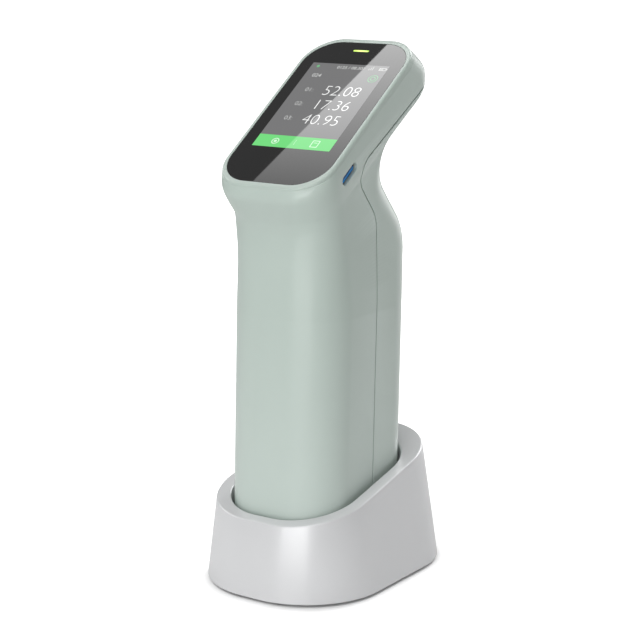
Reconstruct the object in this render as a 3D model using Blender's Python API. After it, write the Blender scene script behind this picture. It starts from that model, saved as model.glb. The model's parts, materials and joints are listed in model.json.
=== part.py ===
"""Hand-held spectral colorimeter standing in its calibration stand.

Metres, +Z up. The origin is the bottom centre of the whole object's box. The screen faces -Y, and +X is
the right-hand side as the user sees it. The instrument leans back a little, so its pieces are modelled
square to the handle in the frame of one empty, and those of the head in a second, tilted one.
"""

import math

import bmesh
import bpy
from mathutils import Matrix, Vector

MM = 0.001

# Cover glass and display
DISPLAY_WIDTH = 41.0 * MM
DISPLAY_HEIGHT = 58.2 * MM
DISPLAY_RAISE = 3.6 * MM
GLASS_SIDE_BORDER = 6.5 * MM
GLASS_END_BORDER = 19.1 * MM
GLASS_WIDTH = DISPLAY_WIDTH + 2 * GLASS_SIDE_BORDER
GLASS_LENGTH = DISPLAY_HEIGHT + 2 * GLASS_END_BORDER
GLASS_THICKNESS = 1.2 * MM
GLASS_CORNER = 15.4 * MM
PANEL_BORDER = 2.0 * MM
PANEL_THICKNESS = 2.6 * MM
PANEL_CORNER = 1.0 * MM

# Head, as seen from the side
HEAD_TILT = math.radians(36.4)
FACE_REACH = 5.25 * MM
FACE_HEIGHT = 198.7 * MM
RIM_SIDE = 2.0 * MM
RIM_END = 2.9 * MM
RIM_EDGE = 1.0 * MM
CHIN_DROP = 3.2 * MM
CHIN_FLARE = 3.3 * MM
CHIN_ROUND = 7.5 * MM
HEAD_THICKNESS = 19.4 * MM
HEAD_FLARE = 7.9 * MM
HEAD_ROUND = 6.5 * MM
HEAD_BULGE = 0.6 * MM

# Handle
LEAN = math.radians(2.0)
HANDLE_WIDTH = 58.0 * MM
HANDLE_DEPTH = 76.8 * MM
HANDLE_FLAT = 7.5 * MM
HANDLE_CORNER = HANDLE_WIDTH / 2 - HANDLE_FLAT
STRAIGHT_HEIGHT = 110.0 * MM
THROAT_HEIGHT = 150.5 * MM
THROAT_ROUND = 15.3 * MM
SHOULDER_HEIGHT = 148.0 * MM
SHOULDER_ROUND = 22.8 * MM
NAPE_REACH = 5.15 * MM
NAPE_HEIGHT = 185.2 * MM
NAPE_ROUND = 20.7 * MM
NECK_PINCH = 1.6 * MM
BULGE_START_SHARE = 0.7
INNER_END_SHARE = 0.86

# Shell walls and the seam between the two shells
WALL = 2.0 * MM
GAP = 0.3 * MM
LEDGE = 1.6 * MM
SEAM_BACK = 2.2 * MM
SEAM_BEND_HEIGHT = 153.3 * MM
SEAM_BEND_ROUND = 14.0 * MM
SEAM_NECK_REACH = 17.05 * MM
SEAM_NECK_HEIGHT = 174.8 * MM
SEAM_NECK_ROUND = 9.8 * MM
SEAM_END_RAISE = 2.4 * MM

# Behind the glass
GASKET_THICKNESS = 0.4 * MM
GASKET_INSET = 1.5 * MM
WINDOW_MARGIN = 1.1 * MM
WINDOW_CORNER = 3.0 * MM
LIGHT_WIDTH = 8.5 * MM
LIGHT_HEIGHT = 1.3 * MM
LIGHT_ABOVE_DISPLAY = 9.4 * MM
LIGHT_RAISE = DISPLAY_RAISE + DISPLAY_HEIGHT / 2 + LIGHT_ABOVE_DISPLAY
CARRIER_THICKNESS = 1.5 * MM
CARRIER_LAP = 1.5 * MM
BOARD_THICKNESS = 1.6 * MM
BOARD_SIDE_LAP = 1.5 * MM
BOARD_LOW_LAP = 7.9 * MM
BOARD_HIGH_LAP = 5.9 * MM
BOARD_TONGUE_LAP = 2.9 * MM
BOARD_WIDTH = DISPLAY_WIDTH + 2 * BOARD_SIDE_LAP
BOARD_CORNER = 2.0 * MM
BOARD_LOW = DISPLAY_HEIGHT / 2 + BOARD_LOW_LAP
BOARD_HIGH = DISPLAY_HEIGHT / 2 + BOARD_HIGH_LAP
BOARD_TONGUE_WIDTH = 16.0 * MM
BOARD_TONGUE_HIGH = LIGHT_RAISE + BOARD_TONGUE_LAP
BOARD_NOTCH = 3.0 * MM
CHIP_ROWS = 3
CHIP_SIZE = 9.0 * MM
CHIP_PITCH = 13.0 * MM
CHIP_HEIGHT = 1.2 * MM
CHIP_SINK = 0.4 * MM

# Side key and its switch
KEY_LENGTH = 13.0 * MM
KEY_WIDTH = 4.2 * MM
KEY_FIT = 0.35 * MM
KEY_SUNK = 1.2 * MM
KEY_TRAVEL = 0.8 * MM
KEY_FROM_END = 19.7 * MM
KEY_LOWER = GLASS_LENGTH / 2 - KEY_FROM_END
KEY_DEPTH = 9.3 * MM
KEY_CROWN = 0.7 * MM
KEY_FLANGE = 1.0 * MM
KEY_FLANGE_THICKNESS = 0.9 * MM
SWITCH_SIZE = 5.0 * MM
SWITCH_HEIGHT = 4.4 * MM
PLUNGER_RADIUS = 0.9 * MM
PLUNGER_SINK = 2.0 * MM

# Charging and data socket
SOCKET_WIDTH = 8.9 * MM
SOCKET_HEIGHT = 3.2 * MM
SOCKET_LENGTH = 7.5 * MM
SOCKET_WALL = 0.35 * MM
SOCKET_BACK = 1.0 * MM
TONGUE_WIDTH = 6.7 * MM
TONGUE_THICKNESS = 0.7 * MM
TONGUE_SUNK = 0.9 * MM

# Foot of the handle and the twist-in aperture ring
FOOT_THICKNESS = 3.0 * MM
APERTURE_RADIUS = 4.0 * MM
APERTURE_LIP = 0.5 * MM
RING_RADIUS = 13.0 * MM
RING_FLANGE = 1.4 * MM
RING_PROUD = 0.6 * MM
RING_NECK_RADIUS = 9.5 * MM
RING_GRIP_WIDTH = 3.0 * MM
RING_GRIP_DEPTH = 0.5 * MM
LUG_WIDTH = 4.0 * MM
LUG_REACH = 1.4 * MM
LUG_THICKNESS = 1.1 * MM
UNLOCK_TURN = math.radians(40)

# Integrating sphere and its lamps
SPHERE_RADIUS = 20.0 * MM
SPHERE_WALL = 3.0 * MM
FLANGE_REACH = 1.6 * MM
FLANGE_THICKNESS = 1.5 * MM
COLLAR_WALL = 2.0 * MM
PORT_RADIUS = 7.0 * MM
PORT_WALL = 1.5 * MM
SPHERE_CUT = 2.0 * MM
NECK_RADIUS = 7.0 * MM
NECK_BORE = 4.0 * MM
NECK_HEIGHT = 6.0 * MM
LAMP_BOARD_RADIUS = 15.0 * MM
LAMP_RADIUS = 1.6 * MM
LAMP_HEIGHT = 1.2 * MM
LAMP_CIRCLE = 11.0 * MM
LAMP_COUNT = 6

# Inner frame, spectrometer, battery, beeper and ribbon cable
DECK_THICKNESS = 2.0 * MM
DECK_FIT = 0.4 * MM
SPINE_WIDTH = 26.0 * MM
BATTERY_CELL = 18.4 * MM
BATTERY_LENGTH = 65.0 * MM
BATTERY_FRONT_ROOM = 5.25 * MM
BATTERY_FRONT = HANDLE_DEPTH / 2 - BATTERY_FRONT_ROOM
BATTERY_EDGE = 1.0 * MM
SPECTRO_WIDTH = 34.0 * MM
SPECTRO_HEIGHT = 42.0 * MM
SPECTRO_BACK_ROOM = 11.25 * MM
SPECTRO_FRONT_ROOM = 1.6 * MM
SPECTRO_BACK = HANDLE_DEPTH / 2 - SPECTRO_BACK_ROOM
SPECTRO_FRONT = BATTERY_FRONT - BATTERY_CELL - SPECTRO_FRONT_ROOM
SPECTRO_CHAMFER = 7.0 * MM
SNOUT_RADIUS = 3.4 * MM
BEEPER_RADIUS = 6.0 * MM
BEEPER_HOLE_RADIUS = 1.2 * MM
BEEPER_HEIGHT = 3.0 * MM
BEEPER_BACK = 21.0 * MM
RIBBON_WIDTH = 12.0 * MM
RIBBON_THICKNESS = 0.4 * MM
RIBBON_BACK = 10.0 * MM
RIBBON_BEND_HEIGHT = 152.0 * MM
RIBBON_BEND_ROUND = 8.0 * MM
RIBBON_LAP = 6.0 * MM

# Screws and the bosses they hold in
SCREW_RADIUS = 1.15 * MM
SCREW_HEAD_RADIUS = 2.2 * MM
SCREW_HEAD_HEIGHT = 1.6 * MM
SCREW_FLOOR = 2.4 * MM
SHELL_SCREW_LENGTH = 11.0 * MM
PLATE_SCREW_LENGTH = 9.0 * MM
BOSS_RADIUS = 3.8 * MM
BOSS_WEB = 1.6 * MM
HANDLE_BOSS_IN = 11.5 * MM
HANDLE_BOSS_SIDE = HANDLE_WIDTH / 2 - HANDLE_BOSS_IN
HANDLE_BOSS_HEIGHT = 132.0 * MM
HEAD_BOSS_IN = 12.0 * MM
HEAD_BOSS_FROM_END = 6.2 * MM
HEAD_BOSS_SIDE = GLASS_WIDTH / 2 - HEAD_BOSS_IN
HEAD_BOSS_UP = GLASS_LENGTH / 2 - HEAD_BOSS_FROM_END
HEAD_BOSS_DEPTH = 14.5 * MM
FOOT_BOSS_IN = 6.0 * MM
CORNER_TURN = math.radians(41.0)
FOOT_BOSS_ROUND = HANDLE_CORNER - FOOT_BOSS_IN
FOOT_BOSS_SIDE = HANDLE_FLAT + FOOT_BOSS_ROUND * math.cos(CORNER_TURN)
FOOT_BOSS_ALONG = HANDLE_DEPTH / 2 - HANDLE_CORNER + FOOT_BOSS_ROUND * math.sin(CORNER_TURN)
FOOT_BOSS_RADIUS = 3.2 * MM
FOOT_BOSS_HEIGHT = 12.0 * MM

# Calibration stand
STAND_RIM_SIDE = 8.3 * MM
STAND_RIM_END = 12.0 * MM
STAND_SPLAY_SIDE = 5.4 * MM
STAND_SPLAY_END = 8.1 * MM
STAND_TOP_WIDTH = HANDLE_WIDTH + 2 * STAND_RIM_SIDE
STAND_TOP_LENGTH = HANDLE_DEPTH + 2 * STAND_RIM_END
STAND_WIDTH = STAND_TOP_WIDTH + 2 * STAND_SPLAY_SIDE
STAND_LENGTH = STAND_TOP_LENGTH + 2 * STAND_SPLAY_END
STAND_TOP_SHIFT = 3.05 * MM
STAND_MID_HEIGHT = 47.8 * MM
STAND_SLOPE = math.radians(13.5)
STAND_EDGE = 0.8 * MM
STAND_GROUND_FLAT = 4.8 * MM
STAND_CORNER = STAND_WIDTH / 2 - STAND_GROUND_FLAT
STAND_TOP_FLAT = 6.7 * MM
STAND_WALL = 2.4 * MM
AXIS_FORWARD = 7.5 * MM
FLOOR_HEIGHT = 13.0 * MM
WELL_SIDE_GAP = 2.1 * MM
WELL_END_GAP = 2.8 * MM
WELL_FLAT = 4.7 * MM
WELL_EDGE = 0.8 * MM

# Stand's underside: base plate, feet, screws and the white tile in its holder
BASE_THICKNESS = 3.0 * MM
BASE_POST_RADIUS = 12.0 * MM
PAD_RADIUS = 6.0 * MM
PAD_SINK = 0.5 * MM
PAD_PROUD = 1.0 * MM
PAD_IN = 24.3 * MM
PAD_FROM_END = 14.5 * MM
PAD_SIDE = STAND_WIDTH / 2 - PAD_IN
PAD_ALONG = STAND_LENGTH / 2 - PAD_FROM_END
STAND_BOSS_IN = 7.4 * MM
STAND_BOSS_ROUND = STAND_CORNER - STAND_BOSS_IN
STAND_BOSS_SIDE = STAND_GROUND_FLAT + STAND_BOSS_ROUND * math.cos(CORNER_TURN)
STAND_BOSS_ALONG = STAND_LENGTH / 2 - STAND_CORNER + STAND_BOSS_ROUND * math.sin(CORNER_TURN)
STAND_BOSS_RADIUS = 3.4 * MM
STAND_BOSS_HEIGHT = 5.5 * MM
STAND_BOSS_WEB = 1.6 * MM
TILE_RADIUS = 15.0 * MM
TILE_THICKNESS = 4.0 * MM
HOLDER_RADIUS = 18.5 * MM
HOLDER_PLATE = 2.4 * MM
HOLDER_FLOOR = 1.6 * MM

# Fineness of curved faces, and how far a cutter runs past what it cuts
CORNER_STEPS = 8
BEND_STEPS = 6
ROUND_STEPS = 20
SMALL_ROUND_STEPS = 8
SKIN_STATIONS = 19
INNER_STATIONS = 7
EDGE_STEPS = 2
SPHERE_STEPS = 5
OVERRUN = 6.0 * MM

# Turns a piece modelled along Z so that it runs along X, with its length up the face
SIDEWAYS = Matrix(((0, 0, 1, 0), (1, 0, 0, 0), (0, 1, 0, 0), (0, 0, 0, 1)))


def start_clean():
    for thing in list(bpy.data.objects):
        bpy.data.objects.remove(thing, do_unlink=True)


def finish(name, colour, roughness, metallic=0.0):
    """A Principled material with one colour, roughness and metallic value."""
    material = bpy.data.materials.new(name)
    material.use_nodes = True
    shader = material.node_tree.nodes["Principled BSDF"]
    shader.inputs["Base Color"].default_value = (*colour, 1.0)
    shader.inputs["Roughness"].default_value = roughness
    shader.inputs["Metallic"].default_value = metallic
    material.diffuse_color = (*colour, 1.0)
    return material


def frame_empty(name, parent, location, tilt):
    """An empty that carries pieces in its own axes, turned about X."""
    empty = bpy.data.objects.new(name, None)
    bpy.context.scene.collection.objects.link(empty)
    empty.parent = parent
    empty.location = location
    empty.rotation_euler = (tilt, 0, 0)
    return empty


def place(name, bm, material, parent=None, location=(0, 0, 0)):
    """Turns a bmesh into a named object in its parent's frame."""
    bmesh.ops.recalc_face_normals(bm, faces=bm.faces)
    mesh = bpy.data.meshes.new(name)
    bm.to_mesh(mesh)
    bm.free()
    mesh.shade_smooth()
    mesh.set_sharp_from_angle(angle=math.radians(35))
    mesh.materials.append(material)
    thing = bpy.data.objects.new(name, mesh)
    bpy.context.scene.collection.objects.link(thing)
    thing.parent = parent
    thing.location = location
    return thing


def helper(name, bm, material, parent=None, location=(0, 0, 0)):
    """A cutter or a joining piece, which stays out of the render."""
    thing = place(name, bm, material, parent, location)
    thing.hide_render = True
    thing.display_type = "WIRE"
    return thing


def combine(thing, operation, other):
    """Adds a Boolean with another object: UNION, DIFFERENCE or INTERSECT."""
    modifier = thing.modifiers.new(other.name, "BOOLEAN")
    modifier.operation = operation
    modifier.object = other


def round_outline(half_width, half_length, radius):
    """A rectangle with round corners, point by point."""
    points = []
    for side, end, rising in ((1, -1, False), (1, 1, True), (-1, 1, False), (-1, -1, True)):
        for step in range(CORNER_STEPS + 1):
            share = step / CORNER_STEPS if rising else 1 - step / CORNER_STEPS
            angle = share * math.pi / 2
            x = side * (half_width - radius + radius * math.cos(angle))
            y = end * (half_length - radius + radius * math.sin(angle))
            points.append((x, y))
    return points


def handle_outline(inset):
    """The handle's section, drawn in by an inset."""
    return round_outline(HANDLE_WIDTH / 2 - inset, HANDLE_DEPTH / 2 - inset, HANDLE_CORNER - inset)


def box_outline(width, length):
    x, y = width / 2, length / 2
    return [(-x, -y), (x, -y), (x, y), (-x, y)]


def circle(radius, steps=ROUND_STEPS):
    turn = 2 * math.pi / steps
    return [(radius * math.cos(k * turn), radius * math.sin(k * turn)) for k in range(steps)]


def stadium(length, width):
    """A slot outline with round ends, its length along x."""
    points = []
    steps = SMALL_ROUND_STEPS
    for end in (1, -1):
        for step in range(steps + 1):
            angle = end * math.pi / 2 * (2 * step / steps - 1)
            x = end * ((length - width) / 2 + width / 2 * math.cos(angle))
            points.append((x, width / 2 * math.sin(angle)))
    return points


def flat_ring(points, height):
    return [Vector((x, y, height)) for x, y in points]


def loft(rings, closed=False):
    """Skins rings of equal count. A closed loft joins the last ring to the first, an open one is capped."""
    bm = bmesh.new()
    rows = [[bm.verts.new(point) for point in ring] for ring in rings]
    pairs = list(zip(rows[:-1], rows[1:]))
    if closed:
        pairs.append((rows[-1], rows[0]))
    for low, high in pairs:
        count = len(low)
        for k in range(count):
            bm.faces.new((low[k], low[(k + 1) % count], high[(k + 1) % count], high[k]))
    if not closed:
        bm.faces.new(reversed(rows[0]))
        bm.faces.new(rows[-1])
    return bm


def prism(points, low, high):
    """Extrudes an outline between two heights."""
    return loft([flat_ring(points, low), flat_ring(points, high)])


def shifted(points, x, y):
    return [(point_x + x, point_y + y) for point_x, point_y in points]


def stacked(levels):
    """A solid of stacked outlines: pairs of an outline and its height, from one end to the other."""
    return loft([flat_ring(points, height) for points, height in levels])


def lathe(profile, closed=True, steps=ROUND_STEPS):
    """Turns a (radius, height) profile about Z: into a ring where it is closed, else into a capped solid."""
    return loft([flat_ring(circle(radius, steps), height) for radius, height in profile], closed)


def merged(pieces):
    """Several bmeshes in one, each still a body of its own."""
    whole = bmesh.new()
    for piece in pieces:
        mesh = bpy.data.meshes.new("piece")
        piece.to_mesh(mesh)
        piece.free()
        whole.from_mesh(mesh)
        bpy.data.meshes.remove(mesh)
    return whole


def moved(bm, matrix):
    bmesh.ops.transform(bm, matrix=matrix, verts=bm.verts)
    return bm


def arc(radius, start, end, steps=SPHERE_STEPS):
    """Points (x, y) of an arc about the origin, from one angle to another."""
    angles = [start + (end - start) * step / steps for step in range(steps + 1)]
    return [(radius * math.cos(angle), radius * math.sin(angle)) for angle in angles]


def bent_path(corners, rounds):
    """A polyline in the side view with each inner corner rounded by its own radius."""
    path = [Vector(corners[0])]
    for before, corner, after, radius in zip(corners[:-2], corners[1:-1], corners[2:], rounds):
        corner = Vector(corner)
        back = (Vector(before) - corner).normalized()
        on = (Vector(after) - corner).normalized()
        half = back.angle(on) / 2
        centre = corner + (back + on).normalized() * (radius / math.sin(half))
        start = corner + back * (radius / math.tan(half)) - centre
        end = corner + on * (radius / math.tan(half)) - centre
        turn = start.angle(end)
        for step in range(BEND_STEPS + 1):
            share = step / BEND_STEPS
            spoke = start * math.sin((1 - share) * turn) + end * math.sin(share * turn)
            path.append(centre + spoke / math.sin(turn))
    path.append(Vector(corners[-1]))
    return path


def beside(path, distance):
    """The path moved sideways by a distance, to the right of its own direction."""
    result = []
    for k, spot in enumerate(path):
        on = (path[min(k + 1, len(path) - 1)] - path[max(k - 1, 0)]).normalized()
        result.append(spot + Vector((on.y, -on.x)) * distance)
    return result


def path_length(path):
    return sum((end - start).length for start, end in zip(path[:-1], path[1:]))


def point_along(path, distance):
    """The point of a path at a distance from its start, and the path's direction there."""
    for start, end in zip(path[:-1], path[1:]):
        span = (end - start).length
        if distance <= span:
            break
        distance -= span
    direction = (end - start).normalized()
    return start + direction * min(distance, span), direction


def slab(side_outline, half_width):
    """A side-view outline, extruded across the instrument."""
    return loft([[Vector((x, spot.x, spot.y)) for spot in side_outline] for x in (-half_width, half_width)])


# The side view's own points: (y, z) square to the handle
FACE_UP = Vector((math.cos(HEAD_TILT), math.sin(HEAD_TILT)))
FACE_OUT = Vector((-math.sin(HEAD_TILT), math.cos(HEAD_TILT)))
FACE_CENTRE = Vector((-FACE_REACH, FACE_HEIGHT))
RIM_HALF_WIDTH = GLASS_WIDTH / 2 + RIM_SIDE
RIM_HALF_LENGTH = GLASS_LENGTH / 2 + RIM_END
RIM_CORNER = GLASS_CORNER + RIM_SIDE


def face_point(up, depth):
    """A side-view point at a distance up the face from its centre, and a depth behind the glass."""
    return FACE_CENTRE + FACE_UP * up - FACE_OUT * depth


HEAD_CORNER = face_point(RIM_HALF_LENGTH + HEAD_FLARE, RIM_EDGE + HEAD_THICKNESS)
FRONT_RAIL = bent_path(
    [
        (-HANDLE_DEPTH / 2, 0),
        (-HANDLE_DEPTH / 2, THROAT_HEIGHT),
        face_point(-RIM_HALF_LENGTH - CHIN_FLARE, RIM_EDGE + CHIN_DROP),
        face_point(-RIM_HALF_LENGTH, RIM_EDGE),
    ],
    [THROAT_ROUND, CHIN_ROUND],
)
BACK_RAIL = bent_path(
    [
        (HANDLE_DEPTH / 2, 0),
        (HANDLE_DEPTH / 2, SHOULDER_HEIGHT),
        (NAPE_REACH, NAPE_HEIGHT),
        HEAD_CORNER,
        face_point(RIM_HALF_LENGTH, RIM_EDGE),
    ],
    [SHOULDER_ROUND, NAPE_ROUND, HEAD_ROUND],
)


def eased(share):
    """A share from 0 to 1 that starts and ends gently."""
    return share * share * (3 - 2 * share)


def width_at(share):
    """Half the width of the housing, from the top of the straight handle (0) to the rim (1)."""
    straight = HANDLE_WIDTH / 2
    pinch = NECK_PINCH * math.sin(math.pi * share) ** 2
    bulge_share = max(share - BULGE_START_SHARE, 0) / (1 - BULGE_START_SHARE)
    bulge = HEAD_BULGE * math.sin(math.pi * bulge_share)
    return straight + (RIM_HALF_WIDTH - straight) * eased(share) - pinch + bulge


def rail_points(share, inset):
    """The two rails' points at a share of what is left of them above the straight handle."""
    spots = []
    for rail, side in ((FRONT_RAIL, 1), (BACK_RAIL, -1)):
        run = STRAIGHT_HEIGHT + (path_length(rail) - STRAIGHT_HEIGHT) * share
        spot, on = point_along(rail, run)
        spots.append(spot + Vector((on.y, -on.x)) * inset * side)
    return spots


def corner_at(share, inset):
    """The radius of a section's corners, from the handle's to the rim's."""
    return HANDLE_CORNER + (RIM_CORNER - HANDLE_CORNER) * eased(share) - inset


def station(share, inset):
    """One section of the housing, in the plane through both rails' points and the X direction."""
    front, back = rail_points(share, inset)
    half_width = width_at(share) - inset
    half_length = (back - front).length / 2
    middle = (front + back) / 2
    along = (back - front).normalized()
    ring = []
    for x, y in round_outline(half_width, half_length, corner_at(share, inset)):
        spot = middle + along * y
        ring.append(Vector((x, spot.x, spot.y)))
    return ring


def wall_reach(spot):
    """How far the housing's outer skin stands from the middle plane at a side-view point of the head."""
    low, high = 0.0, 1.0
    for _ in range(ROUND_STEPS):
        share = (low + high) / 2
        front, back = rail_points(share, 0)
        across = back - front
        above = across.x * (spot - front).y - across.y * (spot - front).x > 0
        low, high = (share, high) if above else (low, share)
    half_length = across.length / 2
    corner = corner_at(share, 0)
    offset = abs((spot - (front + back) / 2).dot(across.normalized()))
    beyond = max(offset - (half_length - corner), 0)
    return width_at(share) - corner + math.sqrt(corner**2 - beyond**2)


def face_ring(half_width, half_length, radius, depth, up=0):
    """A rounded rectangle parallel to the face, at a depth behind it."""
    ring = []
    for x, y in round_outline(half_width, half_length, radius):
        spot = face_point(up + y, depth)
        ring.append(Vector((x, spot.x, spot.y)))
    return ring


def handle_rings(inset, last_share, stations):
    """The housing's sections from the foot up to a share of the head."""
    rings = [flat_ring(handle_outline(inset), 0)]
    rings.extend(station(last_share * step / stations, inset) for step in range(stations + 1))
    return rings


GLASS_SEAT = GLASS_THICKNESS + GASKET_THICKNESS + 2 * GAP
PANEL_HALF_WIDTH = DISPLAY_WIDTH / 2 + PANEL_BORDER
PANEL_HALF_LENGTH = DISPLAY_HEIGHT / 2 + PANEL_BORDER
WINDOW = (PANEL_HALF_WIDTH + WINDOW_MARGIN, PANEL_HALF_LENGTH + WINDOW_MARGIN, WINDOW_CORNER)


def housing_mesh():
    """The hollow housing before it is split: outer skin, rim, glass seat, window and inner skin."""
    rings = handle_rings(0, 1, SKIN_STATIONS)
    for step in range(1, EDGE_STEPS + 1):
        angle = step / EDGE_STEPS * math.pi / 2
        drawn = RIM_EDGE * (1 - math.cos(angle))
        depth = RIM_EDGE * (1 - math.sin(angle))
        rings.append(face_ring(RIM_HALF_WIDTH - drawn, RIM_HALF_LENGTH - drawn, RIM_CORNER - drawn, depth))
    seat = (GLASS_WIDTH / 2 + GAP, GLASS_LENGTH / 2 + GAP, GLASS_CORNER + GAP)
    under = (RIM_HALF_WIDTH - WALL, RIM_HALF_LENGTH - WALL, RIM_CORNER - WALL)
    rings.append(face_ring(*seat, 0))
    rings.append(face_ring(*seat, GLASS_SEAT))
    rings.append(face_ring(*WINDOW, GLASS_SEAT, DISPLAY_RAISE))
    rings.append(face_ring(*WINDOW, GLASS_SEAT + LEDGE, DISPLAY_RAISE))
    rings.append(face_ring(*under, GLASS_SEAT + LEDGE))
    rings.extend(reversed(handle_rings(WALL, INNER_END_SHARE, INNER_STATIONS)))
    return loft(rings, closed=True)


def trim_mesh():
    """A solid that ends in the middle of the housing's wall, to trim what grows from the wall."""
    inset = WALL / 2
    rings = handle_rings(inset, INNER_END_SHARE, INNER_STATIONS)
    rings.append(face_ring(RIM_HALF_WIDTH - inset, RIM_HALF_LENGTH - inset, RIM_CORNER - inset, GLASS_SEAT))
    return loft(rings)


def seam_block(shift):
    """Everything behind the seam, moved back by a small shift, as a slab across the instrument."""
    neck = Vector((-SEAM_NECK_REACH, SEAM_NECK_HEIGHT))
    top = face_point(RIM_HALF_LENGTH + HEAD_FLARE, RIM_EDGE + HEAD_THICKNESS - SEAM_END_RAISE)
    far = top + (top - neck).normalized() * OVERRUN
    corners = [(SEAM_BACK, -OVERRUN), (SEAM_BACK, SEAM_BEND_HEIGHT), neck, far]
    side = beside(bent_path(corners, [SEAM_BEND_ROUND, SEAM_NECK_ROUND]), shift)
    behind = HANDLE_DEPTH + OVERRUN
    side.append(Vector((behind, side[-1].y)))
    side.append(Vector((behind, -OVERRUN)))
    return slab(side, HANDLE_WIDTH / 2 + OVERRUN)


start_clean()
SAGE = finish("sage housing plastic", (0.43, 0.50, 0.46), 0.42)
SILVER = finish("silver stand lacquer", (0.66, 0.67, 0.68), 0.35, 0.3)
BLACK_GLASS = finish("black cover glass", (0.02, 0.02, 0.02), 0.05)
SCREEN = finish("lit display", (0.20, 0.20, 0.20), 0.2)
LIGHT = finish("status light pipe", (0.55, 0.85, 0.12), 0.3)
BLUE = finish("blue key plastic", (0.02, 0.14, 0.42), 0.3)
DARK_PLASTIC = finish("black inner plastic", (0.03, 0.03, 0.03), 0.5)
GREY_PLASTIC = finish("grey inner plastic", (0.30, 0.31, 0.32), 0.5)
BOARD_GREEN = finish("circuit board", (0.02, 0.16, 0.07), 0.45)
WHITE_COAT = finish("white diffusing coat", (0.90, 0.90, 0.88), 0.9)
CERAMIC = finish("white ceramic", (0.92, 0.92, 0.90), 0.25)
STEEL = finish("zinc-plated steel", (0.55, 0.56, 0.58), 0.3, 1.0)
ANODISED = finish("black anodised metal", (0.05, 0.05, 0.055), 0.4, 0.8)
RUBBER = finish("black rubber", (0.025, 0.025, 0.025), 0.85)
CELL_WRAP = finish("battery wrap", (0.05, 0.13, 0.30), 0.4)
FOAM = finish("black sealing foam", (0.02, 0.02, 0.02), 0.95)
CABLE = finish("amber ribbon cable", (0.55, 0.30, 0.06), 0.4)

INSTRUMENT = frame_empty("instrument_frame", None, (0, -AXIS_FORWARD, FLOOR_HEIGHT), -LEAN)
HEAD = frame_empty("head_frame", INSTRUMENT, (0, FACE_CENTRE.x, FACE_CENTRE.y), HEAD_TILT)
WELL = frame_empty("well_frame", None, (0, -AXIS_FORWARD, FLOOR_HEIGHT), -LEAN)
IN_HEAD = Matrix.Translation((0, FACE_CENTRE.x, FACE_CENTRE.y)) @ Matrix.Rotation(HEAD_TILT, 4, "X")
IN_WELL = Matrix.Translation((0, -AXIS_FORWARD, FLOOR_HEIGHT)) @ Matrix.Rotation(-LEAN, 4, "X")
POINTING_DOWN = Matrix.Rotation(math.pi, 4, "X")
POINTING_BACK = Matrix.Rotation(-math.pi / 2, 4, "X")

# Heights in the handle, worked up from the foot
LUG_LOW = FOOT_THICKNESS + GAP
LUG_HIGH = LUG_LOW + LUG_THICKNESS
PORT_FLOOR = LUG_HIGH + GAP
SPHERE_INNER = SPHERE_RADIUS - SPHERE_WALL
PORT_DROP = math.sqrt(SPHERE_INNER**2 - PORT_RADIUS**2)
SPHERE_HEIGHT = PORT_FLOOR + PORT_WALL + PORT_DROP
SPHERE_TOP = SPHERE_HEIGHT + SPHERE_RADIUS - SPHERE_CUT
LAMP_BOARD_LOW = SPHERE_TOP + GAP
DECK_LOW = SPHERE_TOP + NECK_HEIGHT + GAP
DECK_TOP = DECK_LOW + DECK_THICKNESS
SPECTRO_LOW = DECK_TOP + GAP
SPECTRO_TOP = SPECTRO_LOW + SPECTRO_HEIGHT
BATTERY_LOW = DECK_TOP + GAP
UPPER_DECK_LOW = BATTERY_LOW + BATTERY_LENGTH + GAP
UPPER_DECK_TOP = UPPER_DECK_LOW + DECK_THICKNESS

# The top of the well's floor and of the tile in it, just under the aperture ring
HOLDER_TOP = -RING_PROUD - GAP

# Depths behind the glass
PANEL_TOP = GLASS_THICKNESS + GAP
CARRIER_TOP = PANEL_TOP + PANEL_THICKNESS + GAP
BOARD_TOP = CARRIER_TOP + CARRIER_THICKNESS + GAP
BOARD_BACK = BOARD_TOP + BOARD_THICKNESS

# Where the side key and the socket meet the side walls
KEY_WALL = wall_reach(face_point(-KEY_LOWER, KEY_DEPTH))
SOCKET_DEPTH = BOARD_BACK + GAP + SOCKET_HEIGHT / 2
SOCKET_WALL_REACH = wall_reach(face_point(-KEY_LOWER, SOCKET_DEPTH))
KEY_FLANGE_OUT = KEY_WALL - WALL - GAP
KEY_INNER = KEY_FLANGE_OUT - KEY_FLANGE_THICKNESS
SWITCH_INNER = BOARD_WIDTH / 2 - BOARD_NOTCH + GAP
SWITCH_OUTER = SWITCH_INNER + SWITCH_HEIGHT


def shell_screw_spots():
    """Where each screw of the shells starts, tip first, and how it points."""
    handle_tip = SEAM_BACK + GAP / 2 + SCREW_FLOOR - SHELL_SCREW_LENGTH
    head_tip = HEAD_BOSS_DEPTH + GAP + SCREW_FLOOR - SHELL_SCREW_LENGTH
    spots = []
    for side in (-1, 1):
        in_handle = Vector((side * HANDLE_BOSS_SIDE, handle_tip, HANDLE_BOSS_HEIGHT))
        spots.append(Matrix.Translation(in_handle) @ POINTING_BACK)
        in_head = Vector((side * HEAD_BOSS_SIDE, HEAD_BOSS_UP, -head_tip))
        spots.append(IN_HEAD @ Matrix.Translation(in_head) @ POINTING_DOWN)
    return spots


def corner_spots(side, along, height):
    """Four places at the corners of a rectangle, for pieces that point down from a height."""
    return [
        Matrix.Translation((x * side, y * along, height)) @ POINTING_DOWN for x in (-1, 1) for y in (-1, 1)
    ]


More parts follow.
